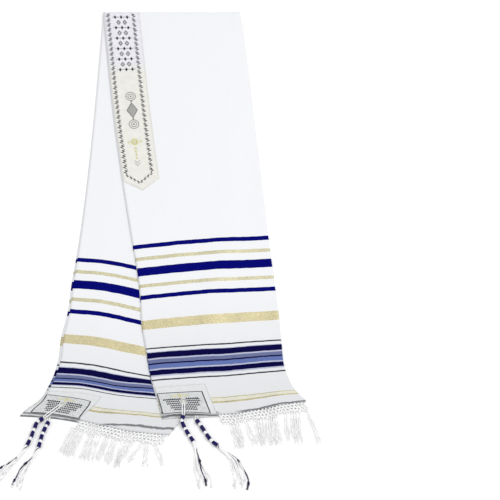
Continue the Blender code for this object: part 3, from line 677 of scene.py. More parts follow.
def add_hem_line(tree, cloth, place, parts, under):
    """The grey line beside the hem: uneven, and gone for a stretch past the corner patch. Below the patch it
    is drawn higher and wider, partly as painted shade of the gap under the patch's edge.
    """
    rough = add_node(tree, "TexNoise", {"Vector": place, "Scale": 45.0, "Detail": 3.0})
    sway = add_node(tree, "MapRange", {"Value": rough.outputs["Fac"], "From Min": 0.3, "From Max": 0.7,
                                       "To Min": -1.4 * MM, "To Max": 1.4 * MM})
    height = add_node(tree, "Math", {0: parts.outputs["Y"], 1: sway.outputs["Result"]}, operation="ADD")
    # The cloth is folded in half, so each of its two patches is as far from its own selvedge
    from_middle = add_node(tree, "Math", {0: parts.outputs["X"], 1: FOLDED_WIDTH * MM}, operation="SUBTRACT")
    half_width = add_node(tree, "Math", {0: from_middle.outputs[0]}, operation="ABSOLUTE")
    before_gap = add_node(tree, "MapRange", {"Value": half_width.outputs[0],
                                             "From Min": HEM_LINE_FADES[0] * MM,
                                             "From Max": HEM_LINE_FADES[1] * MM, "To Min": 1.0,
                                             "To Max": 0.0})
    # Beside the patch the line stands partly for painted shade of the gap under the patch's edge
    by_patch_with_shade = add_node(tree, "MapRange", {"Value": half_width.outputs[0],
                                           "From Min": HEM_LINE_RETURNS[0] * MM,
                                           "From Max": HEM_LINE_RETURNS[1] * MM})
    present = add_node(tree, "Math", {0: before_gap.outputs["Result"], 1: by_patch_with_shade.outputs["Result"]},
                       operation="ADD")
    middle = add_node(tree, "MapRange", {"Value": by_patch_with_shade.outputs["Result"],
                                         "To Min": HEM_LINE_HEIGHTS[0] * MM,
                                         "To Max": HEM_LINE_HEIGHTS[1] * MM})
    away = add_node(tree, "Math", {0: height.outputs[0], 1: middle.outputs["Result"]}, operation="SUBTRACT")
    distance = add_node(tree, "Math", {0: away.outputs[0]}, operation="ABSOLUTE")
    # Painted shade: below the patch the line is drawn wider, for the gap under the patch's edge
    wider_for_shade = add_node(tree, "MapRange", {"Value": by_patch_with_shade.outputs["Result"], "To Min": 1.0, "To Max": 1.4})
    narrowed = add_node(tree, "Math", {0: distance.outputs[0], 1: wider_for_shade.outputs["Result"]},
                        operation="DIVIDE")
    line = add_node(tree, "MapRange", {"Value": narrowed.outputs[0], "From Min": 1.2 * MM,
                                       "From Max": 2.4 * MM, "To Min": 1.0, "To Max": 0.0})
    share = add_node(tree, "Math", {0: line.outputs["Result"], 1: present.outputs[0]}, operation="MULTIPLY")
    mixed = add_node(tree, "Mix", {"Factor": share.outputs[0], "A": under, "B": (*cloth.hem_grey_and_shade, 1)},
                     data_type="RGBA")
    return mixed.outputs[2]


def satin_weave(name, low, high, changes=(0.0, 1.0)):
    """Tightly woven satin: smoother than the cloth, with fine ribs. Its colour changes along its UV map."""
    material, tree, shader = new_material(name, 0.5, 0.1)
    place = add_node(tree, "UVMap", {}, uv_map="cloth").outputs["UV"]
    parts = add_node(tree, "SeparateXYZ", {"Vector": place})
    change = add_node(tree, "MapRange", {"Value": parts.outputs["Y"], "From Min": changes[0] * MM,
                                         "From Max": changes[1] * MM})
    blend = add_node(tree, "Mix", {"Factor": change.outputs["Result"], "A": (*low, 1), "B": (*high, 1)},
                     data_type="RGBA")
    cloudy = add_node(tree, "TexNoise", {"Vector": place, "Scale": 90.0, "Detail": 3.0})
    shade = add_node(tree, "MapRange", {"Value": cloudy.outputs["Fac"], "From Min": 0.3, "From Max": 0.7,
                                        "To Min": 0.95, "To Max": 1.03})
    shaded = add_node(tree, "VectorMath", {0: blend.outputs[2], "Scale": shade.outputs["Result"]},
                      operation="SCALE")
    # Ribs 0.5 mm apart
    ribs = add_node(tree, "TexWave", {"Vector": place, "Scale": 1 / (0.5 * MM) / 20, "Distortion": 0.3},
                    bands_direction="Y")
    bump = add_node(tree, "Bump", {"Height": ribs.outputs["Fac"], "Strength": 0.3, "Distance": 0.1 * MM})
    tree.links.new(shaded.outputs["Vector"], shader.inputs["Base Color"])
    tree.links.new(bump.outputs["Normal"], shader.inputs["Normal"])
    return material


def add_woven_field(material, colour):
    """Fills the frame of a patch with small woven figures, over the ground it has already."""
    tree = material.node_tree
    shader = tree.nodes["Principled BSDF"]
    ground = shader.inputs["Base Color"].links[0].from_socket
    place = add_node(tree, "UVMap", {}, uv_map="frame").outputs["UV"]
    parts = add_node(tree, "SeparateXYZ", {"Vector": place})
    inside = []
    for way in "XY":
        from_middle = add_node(tree, "Math", {0: parts.outputs[way], 1: 0.5}, operation="SUBTRACT")
        distance = add_node(tree, "Math", {0: from_middle.outputs[0]}, operation="ABSOLUTE")
        near = add_node(tree, "Math", {0: distance.outputs[0], 1: 0.5}, operation="LESS_THAN")
        inside.append(near.outputs[0])
    in_frame = add_node(tree, "Math", {0: inside[0], 1: inside[1]}, operation="MULTIPLY")
    # The figures are about 2 mm apart, so they show as specks
    on_cloth = add_node(tree, "UVMap", {}, uv_map="cloth").outputs["UV"]
    specks = add_node(tree, "TexVoronoi", {"Vector": on_cloth, "Scale": 1 / (2.2 * MM), "Randomness": 0.6})
    share = add_node(tree, "MapRange", {"Value": specks.outputs["Distance"], "From Min": 0.1, "From Max": 0.6,
                                        "To Min": 0.75, "To Max": 0.05})
    factor = add_node(tree, "Math", {0: in_frame.outputs[0], 1: share.outputs["Result"]},
                      operation="MULTIPLY")
    mixed = add_node(tree, "Mix", {"Factor": factor.outputs[0], "A": ground, "B": colour}, data_type="RGBA")
    tree.links.new(mixed.outputs[2], shader.inputs["Base Color"])


def twisted_yarn(name, colour, roughness, sheen, hollow_shade_depth=0.1):
    """Spun yarn: matt and a little fuzzy, with painted shade in the hollows between its fibres."""
    material, tree, shader = new_material(name, roughness, sheen)
    place = add_node(tree, "TexCoord", {}).outputs["Object"]
    # Fibres gather in tufts about half a millimetre long
    fibres = add_node(tree, "TexNoise", {"Vector": place, "Scale": 1 / (0.5 * MM) / 2, "Detail": 3.0})
    shade = add_node(tree, "MapRange", {"Value": fibres.outputs["Fac"], "From Min": 0.3, "From Max": 0.7,
                                        "To Min": 1 - hollow_shade_depth, "To Max": 1 + hollow_shade_depth / 3})
    shaded = add_node(tree, "VectorMath", {0: colour, "Scale": shade.outputs["Result"]}, operation="SCALE")
    bump = add_node(tree, "Bump", {"Height": fibres.outputs["Fac"], "Strength": 0.4, "Distance": 0.2 * MM})
    tree.links.new(shaded.outputs["Vector"], shader.inputs["Base Color"])
    tree.links.new(bump.outputs["Normal"], shader.inputs["Normal"])
    return material


def metal_thread(name, colour):
    """Flat gold-coloured thread: glints, with specks where it turns."""
    material, tree, shader = new_material(name, 0.4)
    shader.inputs["Metallic"].default_value = 0.3
    place = add_node(tree, "TexCoord", {}).outputs["Object"]
    specks = add_node(tree, "TexVoronoi", {"Vector": place, "Scale": 900.0})
    glint = add_node(tree, "MapRange", {"Value": specks.outputs["Color"], "To Min": 0.8, "To Max": 1.1})
    shaded = add_node(tree, "VectorMath", {0: colour, "Scale": glint.outputs["Result"]}, operation="SCALE")
    tree.links.new(shaded.outputs["Vector"], shader.inputs["Base Color"])
    return material


def add_piece(name, bm, materials, nodes):
    """Makes a piece from a bmesh in millimetres, parents it to the body's root and hides the part's nodes
    that it stands in for.
    """
    bmesh.ops.translate(bm, vec=FOLD_MIDDLE, verts=bm.verts)
    bmesh.ops.scale(bm, vec=(MM, MM, MM), verts=bm.verts)
    mesh = bpy.data.meshes.new(name)
    bm.to_mesh(mesh)
    bm.free()
    mesh.shade_smooth()
    for material in materials:
        mesh.materials.append(material)
    piece = bpy.data.objects.new(name, mesh)
    bpy.context.scene.collection.objects.link(piece)
    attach(piece, "root")
    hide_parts(*nodes)
    return piece


def grid_of(points, uvs):
    """A bmesh grid from rows of points in millimetres, with a UV map in metres."""
    rows, columns = points.shape[:2]
    bm = bmesh.new()
    bmesh.ops.create_grid(bm, x_segments=columns - 1, y_segments=rows - 1, size=1)
    uv_map = bm.loops.layers.uv.new("cloth")
    places = {}
    for vert in bm.verts:
        column = round((vert.co.x + 1) / 2 * (columns - 1))
        row = round((vert.co.y + 1) / 2 * (rows - 1))
        vert.co = points[row, column]
        places[vert] = (row, column)
    for face in bm.faces:
        for loop in face.loops:
            loop[uv_map].uv = uvs[places[loop.vert]]
    return bm


def back_take_up(across, from_hem):
    """How much the ripples of the back half shift its stripes towards the hem, at a place on its cloth."""
    rows = np.array(BACK_TAKE_UP, float).T
    middle, edge = (np.interp(from_hem, rows[0], column) for column in rows[1:])
    share = smooth_step((across * FOLDED_WIDTH - TAKE_UP_FROM) / (TAKE_UP_TO - TAKE_UP_FROM))
    return middle + (edge - middle) * share


class TALLIT_OT_shawl_cloth(bpy.types.Operator):
    bl_idname = "tallit.shawl_cloth"
    bl_label = "Shawl cloth"
    bl_options = {"REGISTER", "UNDO"}

    EDGE_STEPS = 8
    BEND_STEPS = 10
    TRIMS = ("neckband_piece", "patch_front_piece", "patch_back_piece", "fringe_front_piece",
             "fringe_back_piece", "tzitzit_front_upper_piece", "tzitzit_front_under_piece",
             "tzitzit_back_upper_piece", "tzitzit_back_under_piece")

    def execute(self, context):
        cloth = context.scene.tallit.cloth
        step = cloth.grid_step / MM
        across = np.linspace(0, 1, round(FOLDED_WIDTH / step) + 1)
        turns = [math.pi * count / self.EDGE_STEPS for count in range(1, self.EDGE_STEPS)]
        places = [("a", a) for a in across] + [("edge", t) for t in turns] + [("b", a) for a in across[::-1]]
        front = np.linspace(0, FRONT.length, round(FRONT.length / step) + 1)
        back = np.linspace(BACK.length, 0, round(BACK.length / step) + 1)
        angles = np.linspace(0, math.pi, self.BEND_STEPS + 1)[1:-1]
        columns = [np.concatenate((cloth_point(FRONT, place, front), bend_point(place, angles),
                                   cloth_point(BACK, place, back))) for place in places]
        points = np.stack(columns, axis=1)
        bend = np.linspace(FRONT.length, BACK.length, self.BEND_STEPS + 1)[1:-1]
        from_hem = np.concatenate((front, bend, back))
        widths = np.concatenate((across * FOLDED_WIDTH, [FOLDED_WIDTH] * len(turns),
                                 CLOTH_WIDTH - across[::-1] * FOLDED_WIDTH))
        uvs = np.stack(np.meshgrid(widths, from_hem), axis=-1)
        shares = np.concatenate((across, [1.0] * len(turns), across[::-1]))
        uvs[-len(back):, :, 1] += back_take_up(shares[None, :], back[:, None])
        bm = grid_of(points, uvs * MM)
        piece = add_piece("shawl_cloth_piece", bm, [striped_weave(cloth)], ["shawl_cloth"])
        wall = piece.modifiers.new("wall", "SOLIDIFY")
        wall.thickness = CLOTH_WALL * MM
        wall.offset = 0
        wall.use_even_offset = True
        return {"FINISHED"}


class Ornament:
    """Flat woven ornament: shapes drawn in millimetres across and along a piece, and laid on it."""

    def __init__(self, bm, lay):
        self.bm = bm
        self.lay = lay
        self.faces = []

    def shape(self, corners, material):
        face = self.bm.faces.new([self.bm.verts.new(self.lay(*corner)) for corner in corners])
        face.material_index = material
        self.faces.append(face)

    def lozenge(self, x, y, wide, high, material):
        self.shape([(x - wide, y), (x, y - high), (x + wide, y), (x, y + high)], material)

    def disc(self, x, y, radius, material, corners=8):
        turns = [math.tau * (corner + 0.5) / corners for corner in range(corners)]
        self.shape([(x + radius * math.cos(t), y + radius * math.sin(t)) for t in turns], material)

    def line(self, points, width, material, closed=False):
        """A ribbon of even width through its points, with mitred corners."""
        path = np.array(points, float)
        around = np.roll(path, 1, axis=0), np.roll(path, -1, axis=0)
        if not closed:
            around[0][0], around[1][-1] = path[0], path[-1]
        before = path - around[0]
        after = around[1] - path
        if not closed:
            before[0], after[-1] = after[0], before[-1]
        before, after = normalized(before), normalized(after)
        way = normalized(before + after)
        beside = np.stack((-way[:, 1], way[:, 0]), axis=1)
        reach = width / 2 / np.maximum(0.4, (way * before).sum(axis=1, keepdims=True))
        sides = [[self.bm.verts.new(self.lay(*corner)) for corner in path + beside * reach * sign]
                 for sign in (-1, 1)]
        count = len(path)
        for index in range(count if closed else count - 1):
            after_it = (index + 1) % count
            face = self.bm.faces.new((sides[0][index], sides[0][after_it],
                                      sides[1][after_it], sides[1][index]))
            face.material_index = material
            self.faces.append(face)

    def ring(self, x, y, wide, high, width, material, corners=4, per_side=3):
        """An outlined lozenge, or a rounder ring if it has more corners."""
        turns = [math.tau * corner / corners for corner in range(corners + 1)]
        tips = [np.array((x + wide * math.cos(t), y + high * math.sin(t))) for t in turns]
        path = [first + (second - first) * step / per_side
                for first, second in zip(tips, tips[1:]) for step in range(per_side)]
        self.line(path, width, material, closed=True)

    def rosette(self, x, y, radius, petals, material):
        for petal in range(petals):
            turn = math.tau * petal / petals
            way = np.array((math.cos(turn), math.sin(turn)))
            beside = np.array((-way[1], way[0]))
            spots = ((0.25, 0.0), (0.6, 0.2), (1.0, 0.0), (0.6, -0.2))
            self.shape([(x, y) + (way * out + beside * off) * radius for out, off in spots], material)
        self.disc(x, y, radius * 0.18, material)

    def finish(self, thickness):
        """Gives the ornament its thickness, downwards into what it lies on."""
        bmesh.ops.recalc_face_normals(self.bm, faces=self.faces)
        for face in self.faces:
            if face.normal.z < 0:
                face.normal_flip()
        bmesh.ops.solidify(self.bm, geom=self.faces, thickness=thickness)


def rows_between(start, end, step):
    return np.linspace(start, end, max(2, round(abs(end - start) / step) + 1))


class Yarns:
    """Yarns in one bmesh. Each is a copy of a straight tube, bent along its own path."""

    def __init__(self, bm=None):
        self.bm = bm or bmesh.new()
        self.tubes = {}

    def straight_tube(self, steps, sides):
        """A closed tube of radius 1 along Z, from 0 to its number of steps."""
        if (steps, sides) not in self.tubes:
            bm = bmesh.new()
            bmesh.ops.create_cone(bm, cap_ends=True, segments=sides, radius1=1, radius2=1, depth=steps)
            long_edges = [edge for edge in bm.edges
                          if abs(edge.verts[0].co.z - edge.verts[1].co.z) > steps / 2]
            if steps > 1:
                bmesh.ops.subdivide_edges(bm, edges=long_edges, cuts=steps - 1)
            bmesh.ops.translate(bm, vec=(0, 0, steps / 2), verts=bm.verts)
            mesh = bpy.data.meshes.new("tube")
            bm.to_mesh(mesh)
            bm.free()
            self.tubes[steps, sides] = mesh
        return self.tubes[steps, sides]

    def add(self, path, radius, material=0, sides=5):
        """Adds a yarn along a path of points. Its radius is one number, or one for each point."""
        path = np.asarray(path, float)
        radii = np.broadcast_to(radius, len(path))
        across, over = directions_along(path)
        first_vert, first_face = len(self.bm.verts), len(self.bm.faces)
        self.bm.from_mesh(self.straight_tube(len(path) - 1, sides))
        self.bm.verts.ensure_lookup_table()
        self.bm.faces.ensure_lookup_table()
        for vert in self.bm.verts[first_vert:]:
            step = round(vert.co.z)
            out = across[step] * vert.co.x + over[step] * vert.co.y
            vert.co = path[step] + out * radii[step]
        for face in self.bm.faces[first_face:]:
            face.material_index = material

    def knot(self, centre, radius, material=0, squash=1.0):
        """A small tight knot. It lies on the surface, or higher."""
        made = bmesh.ops.create_icosphere(self.bm, subdivisions=1, radius=radius)
        height = max(centre[2], radius * squash)
        for vert in made["verts"]:
            vert.co = (vert.co.x + centre[0], vert.co.y + centre[1], vert.co.z * squash + height)
        for face in {face for vert in made["verts"] for face in vert.link_faces}:
            face.material_index = material

    def finish(self):
        for mesh in self.tubes.values():
            bpy.data.meshes.remove(mesh)
        return self.bm


def directions_along(path):
    """Two directions square to a path at each of its points, carried along it without a twist."""
    forward = normalized(np.gradient(path, axis=0))
    start = np.cross(forward[0], (0, 0, 1) if abs(forward[0][2]) < 0.9 else (1, 0, 0))
    across = [start / np.linalg.norm(start)]
    for way in forward[1:]:
        turned = across[-1] - way * across[-1].dot(way)
        across.append(turned / np.linalg.norm(turned))
    across = np.array(across)
    return across, np.cross(across, forward)


def smooth_path(points, steps):
    """Evenly spaced points on a smooth curve through a few points."""
    points = np.asarray(points, float)
    places = np.concatenate(([0], np.cumsum(np.linalg.norm(np.diff(points, axis=0), axis=1))))
    at = np.linspace(0, places[-1], steps + 1)
    return np.stack([curve_through(places, column, at) for column in points.T], axis=1)


def path_length(points):
    return float(np.linalg.norm(np.diff(np.array(points, float), axis=0), axis=1).sum())


def add_stitches(yarns, path, pitch, material):
    """A row of machine stitches along a path that lies on a surface. Their ends dip into it."""
    spots = smooth_path(path, int(path_length(path) / pitch) * 4)
    for start in range(0, len(spots) - 3, 4):
        stitch = spots[start:start + 4].copy()
        stitch[:, 2] += (-STITCH_DIP, STITCH_LIFT, STITCH_LIFT, -STITCH_DIP)
        yarns.add(stitch, STITCH_RADIUS, material)


class TALLIT_OT_neckband(bpy.types.Operator):
    """Builds the neckband with its woven border and its generic ornament"""

    bl_idname = "tallit.neckband"
    bl_label = "Neckband"
    bl_options = {"REGISTER", "UNDO"}

    LEFT, RIGHT = SEWN_INSET, SEWN_INSET + BAND_WIDTH
    MIDDLE = SEWN_INSET + BAND_WIDTH / 2
    STEP = 4.0
    TURN_STEP = 1.2
    TIP_STEPS = 6
    THREAD = 0.18
    # From where to where the satin turns from cream to white
    SATIN_CHANGES = (770.0, 800.0)
    MEDALLION_AT = (38.5, 684.0)
    ROSETTE_AT = (35.5, 611.0)
    # The border's two columns, and the slanting rows from their ends to the tip
    BORDER_COLUMNS = (9.6, 61.3)
    BORDER_PITCH = 11.3
    BORDER_ENDS = 546.0
    BORDER_STOPS_SHORT = 6.0
    BORDER_TIP = (34.5, 519.0)
    TIP_PITCH = 8.8
    TIP_SCALE = 0.72
    MARK_THREAD = 1.5
    # Rows of lozenges, from near the fold down
    FIRST_ROW = 904.0
    ROW_PITCH = 12.4
    ROWS = 11
    # A mark of the border: its points inwards from the border's middle, and towards the fold
    MARK = ((4.0, 4.3), (-1.6, 2.6), (2.4, 0.2), (-3.7, -1.4), (1.8, -4.5))
    DARK, GREY, GOLD, SEWING = 1, 2, 3, 4

    def execute(self, context):
        trim = context.scene.tallit.trim
        wall = trim.band_wall / MM
        lift = CLOTH_WALL / 2 + SEWN_GAP + wall / 2
        top = lift + wall / 2
        end = FRONT.length + bend_radius(("a", self.MIDDLE / FOLDED_WIDTH), lift) * BAND_TURN_UNDER
        bm = self.band_ground(lift, end)
        thicken(bm, wall)

        def lay(column, row):
            return band_point(column, row, top + self.THREAD)

        drawn = Ornament(bm, lay)
        self.draw_border(drawn, end)
        self.draw_rows(drawn)
        self.draw_medallion(drawn, *self.MEDALLION_AT)
        self.draw_rosette(drawn, *self.ROSETTE_AT)
        drawn.finish(self.THREAD + 0.05)
        yarns = Yarns(bm)
        self.sew_edges(yarns, trim.stitch_pitch / MM, end, top)
        materials = [
            satin_weave("satin_weave_cream", trim.satin, trim.satin_top, self.SATIN_CHANGES),
            twisted_yarn("woven_thread_dark", (*trim.dark_thread,), 0.7, 0.0, 0.25),
            twisted_yarn("woven_thread_grey", (*trim.grey_thread,), 0.7, 0.0, 0.25),
            metal_thread("gold_coloured_thread", (*trim.gold_thread,)),
            twisted_yarn("sewing_thread_white", (*trim.satin,), 0.6, 0.05, 0.1),
        ]
        add_piece("neckband_piece", yarns.finish(), materials, ["neckband"])
        return {"FINISHED"}

    def band_ground(self, lift, end):
        """The band's cloth, from its pointed end up to the fold and round it."""
        columns = np.linspace(self.LEFT, self.RIGHT, 2 * round(BAND_WIDTH / self.STEP / 2) + 1)
        rows = np.concatenate((rows_between(BAND_END, FRONT.length, self.STEP),
                               rows_between(FRONT.length, end, self.TURN_STEP)[1:]))
        from_middle = np.abs(columns - self.MIDDLE) / (BAND_WIDTH / 2)
        outs = BAND_CORNER + (BAND_TIP - BAND_CORNER) * (1 - from_middle)
        shares = 1 - np.arange(self.TIP_STEPS) / self.TIP_STEPS
        places = [[(column, BAND_END - out * share) for column, out in zip(columns, outs)]
                  for share in shares]
        places += [[(column, row) for column in columns] for row in rows]
        points = np.array([[band_point(column, row, lift) for column, row in line] for line in places])
        return grid_of(points, np.array(places) * MM)

    def draw_mark(self, drawn, place, inward, scale):
        """A hooked zigzag. inward points from the border to the middle of the band."""
        place = np.array(place, float)
        inward = np.array(inward, float)
        forward = np.array((-inward[1], inward[0])) * (1 if inward[0] > 0 else -1)
        drawn.line([place + (inward * first + forward * second) * scale for first, second in self.MARK],
                   self.MARK_THREAD * scale, self.DARK)

    def draw_border(self, drawn, end):
        """A column of zigzag marks beside each long edge, and two slanting rows that meet at the tip."""
        for column, inward in zip(self.BORDER_COLUMNS, (1, -1)):
            for row in np.arange(self.BORDER_ENDS, end - self.BORDER_STOPS_SHORT, self.BORDER_PITCH):
                self.draw_mark(drawn, (column, row), (inward, 0), 1.0)
            start = np.array((column + inward * 1.5, self.BORDER_ENDS - self.TIP_PITCH))
            way = np.array(self.BORDER_TIP) - start
            length = np.linalg.norm(way)
            way = way / length
            upwards = np.array((-way[1], way[0])) * inward
            for at in np.arange(0, length - 2, self.TIP_PITCH):
                self.draw_mark(drawn, start + way * at, upwards, self.TIP_SCALE)

    def draw_rows(self, drawn):
        """Rows of filled and outlined lozenges across the band, near the fold."""
        for row in range(self.ROWS):
            y = self.FIRST_ROW - row * self.ROW_PITCH
            if row % 2:
                for x in (29.5, 42.5):
                    drawn.ring(x, y, 3.6, 4.6, 1.6, self.DARK, per_side=1)
                    drawn.disc(x, y, 0.9, self.DARK, corners=6)
                continue
            for x in (23.5, 36.0, 48.5):
                drawn.lozenge(x, y, 3.0, 4.4, self.DARK)
                for way in (-1, 1):
                    drawn.disc(x + 5.0 * way, y, 0.9, self.DARK, corners=6)

    def draw_medallion(self, drawn, x, y):
        """A hatched lozenge between two ringed dots."""
        wide, high = 10.5, 17.5
        drawn.ring(x, y, wide, high, 1.5, self.GREY, per_side=4)
        for row in np.arange(-high + 3.4, high - 3.0, 2.3):
            reach = wide * (1 - abs(row) / high) - 1.2
            drawn.line([(x - reach, y + row), (x, y + row), (x + reach, y + row)], 1.3, self.GREY)
        for way in (-1, 1):
            drawn.lozenge(x, y + way * 20.6, 2.0, 2.0, self.GREY)
            drawn.ring(x, y + way * 32.5, 10.0, 10.0, 1.2, self.GREY, corners=10, per_side=1)
            drawn.ring(x, y + way * 32.5, 6.0, 6.0, 1.2, self.GREY, corners=6, per_side=1)
            drawn.disc(x, y + way * 32.5, 2.0, self.GREY, corners=6)

    def draw_rosette(self, drawn, x, y):
        """A pale gold rosette between lozenges, over a column of lozenges and two fine chevrons."""
        drawn.rosette(x, y, 9.5, 12, self.GOLD)
        for way in (-1, 1):
            drawn.lozenge(x + way * 12.5, y, 2.2, 3.4, self.GOLD)
        for step in range(4):
            drawn.lozenge(x, y - 14.5 - step * 7.2, 3.6 - 0.5 * step, 3.0, self.GOLD)
        for step in range(2):
            low = y - 47.5 - step * 6.0
            drawn.line([(x - 5.5, low + 5.5), (x, low), (x + 5.5, low + 5.5)], 0.8, self.GREY)

    def sew_edges(self, yarns, pitch, end, top):
        """Stitches close to both long edges and along the pointed end."""
        inset = 2.2
        left, right = self.LEFT + inset, self.RIGHT - inset
        corner = BAND_END - BAND_CORNER + inset
        tip = (self.MIDDLE, BAND_END - BAND_TIP + inset * 1.2)
        edges = ([(left, row) for row in rows_between(BAND_END, end - 2, 8)],
                 [(right, row) for row in rows_between(BAND_END, end - 2, 8)],
                 [(left, corner), tip],
                 [tip, (right, corner)])
        for edge in edges:
            path = np.array([band_point(column, row, top) for column, row in edge])
            add_stitches(yarns, path, pitch, self.SEWING)


def thicken(bm, wall):
    """Gives an open surface its wall, half of it on each side."""
    bm.normal_update()
    for vert, normal in [(vert, vert.normal.copy()) for vert in bm.verts]:
        vert.co += normal * wall / 2
    bmesh.ops.solidify(bm, geom=bm.faces[:], thickness=wall)
    bmesh.ops.recalc_face_normals(bm, faces=bm.faces)


class TALLIT_OT_corner_patches(bpy.types.Operator):
    """Builds the two corner patches that show, with their eyelets"""

    bl_idname = "tallit.corner_patches"
    bl_label = "Corner patches"
    bl_options = {"REGISTER", "UNDO"}

    WALL = 0.8
    THREAD = 0.16
    SPOKES_ACROSS = 26
    SPOKES_UP = 16
    RINGS = 14
    FRAME_SIDE = 2.3
    FRAME_THREAD = 1.4
    ROSETTE_BELOW_FRAME = 7.2
    ZIGZAG_ROWS = 6
    ZIGZAG_PITCH = 4.6
    EYELET_STITCHES = 40
    DARK, GOLD, SEWING = 1, 2, 3

    def execute(self, context):
        trim = context.scene.tallit.trim
        ground = satin_weave("satin_weave_pale_grey", trim.patch, trim.patch)
        add_woven_field(ground, (*trim.patch_field, 1))
        materials = [
            ground,
            twisted_yarn("woven_thread_dark_patch", (*trim.dark_thread,), 0.7, 0.0, 0.25),
            metal_thread("gold_coloured_thread_patch", (*trim.gold_thread,)),
            twisted_yarn("sewing_thread_pale", (*trim.patch,), 0.6, 0.05, 0.1),
        ]
        top = CLOTH_WALL / 2 + SEWN_GAP + self.WALL
        for name in ("front", "back"):
            bm = self.patch_ground(name)

            def lay(x, y):
                column, row = self.place_in_frame(PATCH_FRAMES[name], x / FRAME_WIDTH, y / FRAME_HEIGHT)
                return lifted_point(HALVES[name], column / FOLDED_WIDTH, row, top + self.THREAD)

            drawn = Ornament(bm, lay)
            self.draw_ornament(drawn, *self.shares_in_frame(PATCH_FRAMES[name], EYELET_ACROSS, EYELET_UP))
            drawn.finish(self.THREAD + 0.05)
            yarns = Yarns(bm)
            self.sew(yarns, HALVES[name], trim.stitch_pitch / MM, top)
            add_piece("patch_" + name + "_piece", yarns.finish(), materials,
                      ["corner_patch_" + name])
        return {"FINISHED"}

    def place_in_frame(self, edges, share_across, share_up):
        """A place on the cloth, from shares of the way across and up a patch's woven frame."""
        column = edges.left_low + (edges.left_high - edges.left_low) * share_up + share_across * FRAME_WIDTH
        high = edges.high_left + (edges.high_right - edges.high_left) * column / PATCH_WIDTH
        return column, edges.low + (high - edges.low) * share_up

    def shares_in_frame(self, edges, column, row):
        """The shares of the way across and up a patch's woven frame, from a place on the cloth."""
        high = edges.high_left + (edges.high_right - edges.high_left) * column / PATCH_WIDTH
        share_up = (row - edges.low) / (high - edges.low)
        left = edges.left_low + (edges.left_high - edges.left_low) * share_up
        return (column - left) / FRAME_WIDTH, share_up

    def patch_ground(self, name):
        """The patch's cloth, from the eyelet's edge out to its own edges."""
        left, right = SEWN_INSET, SEWN_INSET + PATCH_WIDTH
        low, high = SEWN_INSET, SEWN_INSET + PATCH_HEIGHT
        rim = [(x, low) for x in np.linspace(left, right, self.SPOKES_ACROSS + 1)[:-1]]
        rim += [(right, y) for y in np.linspace(low, high, self.SPOKES_UP + 1)[:-1]]
        rim += [(x, high) for x in np.linspace(right, left, self.SPOKES_ACROSS + 1)[:-1]]
        rim += [(left, y) for y in np.linspace(high, low, self.SPOKES_UP + 1)]
        rim = np.array(rim)
        centre = np.array((EYELET_ACROSS, EYELET_UP))
        hole = centre + normalized(rim - centre) * EYELET_RADIUS
        shares = np.linspace(0, 1, self.RINGS + 1)[:, None, None]
        places = hole + (rim - hole) * shares
        lift = CLOTH_WALL / 2 + SEWN_GAP + self.WALL / 2
        points = lifted_point(HALVES[name], places[..., 0] / FOLDED_WIDTH, places[..., 1], lift)
        bm = grid_of(points, places * MM)
        in_frame = bm.loops.layers.uv.new("frame")
        on_cloth = bm.loops.layers.uv["cloth"]
        for face in bm.faces:
            for loop in face.loops:
                loop[in_frame].uv = self.shares_in_frame(PATCH_FRAMES[name], *(loop[on_cloth].uv / MM))
        bmesh.ops.remove_doubles(bm, verts=bm.verts, dist=0.001)
        bmesh.ops.recalc_face_normals(bm, faces=bm.faces)
        if sum(face.normal.z for face in bm.faces) < 0:
            bmesh.ops.reverse_faces(bm, faces=bm.faces)
        thicken(bm, self.WALL)
        return bm

    def draw_ornament(self, drawn, eyelet_across, eyelet_up):
        """A frame with thick sides round rows of zigzags, and a pale gold rosette with lozenges beside it."""
        for x in (0, FRAME_WIDTH):
            drawn.line([(x, y) for y in rows_between(0, FRAME_HEIGHT, 7)], self.FRAME_SIDE, self.DARK)
        for y in (0, FRAME_HEIGHT):
            drawn.line([(x, y) for x in rows_between(0, FRAME_WIDTH, 7)], self.FRAME_THREAD, self.DARK)
        middle = FRAME_WIDTH / 2
        x, y = middle - 1.5, FRAME_HEIGHT - self.ROSETTE_BELOW_FRAME
        drawn.rosette(x, y, 6.2, 10, self.GOLD)
        for side in (-1, 1):
            for step in range(2):
                drawn.lozenge(x + side * (9.5 + 6.5 * step), y, 2.6 - 0.5 * step, 3.6 - 0.8 * step, self.GOLD)
        eyelet = np.array((eyelet_across * FRAME_WIDTH, eyelet_up * FRAME_HEIGHT))
        clear_of_eyelet = EYELET_RADIUS + 3.2
        for row in range(self.ZIGZAG_ROWS):
            y = FRAME_HEIGHT - 15.0 - row * 4.5
            reach = 36.0 - 2.8 * row
            width = 1.9 if row == 0 else 1.5
            for x in np.arange(-reach, reach, self.ZIGZAG_PITCH) + middle + self.ZIGZAG_PITCH / 2 * (row % 2):
                if np.linalg.norm((x, y) - eyelet) > clear_of_eyelet:
                    drawn.line([(x - 2.3, y - 1.3), (x, y + 1.3), (x + 2.1, y - 1.1)], width, self.DARK)

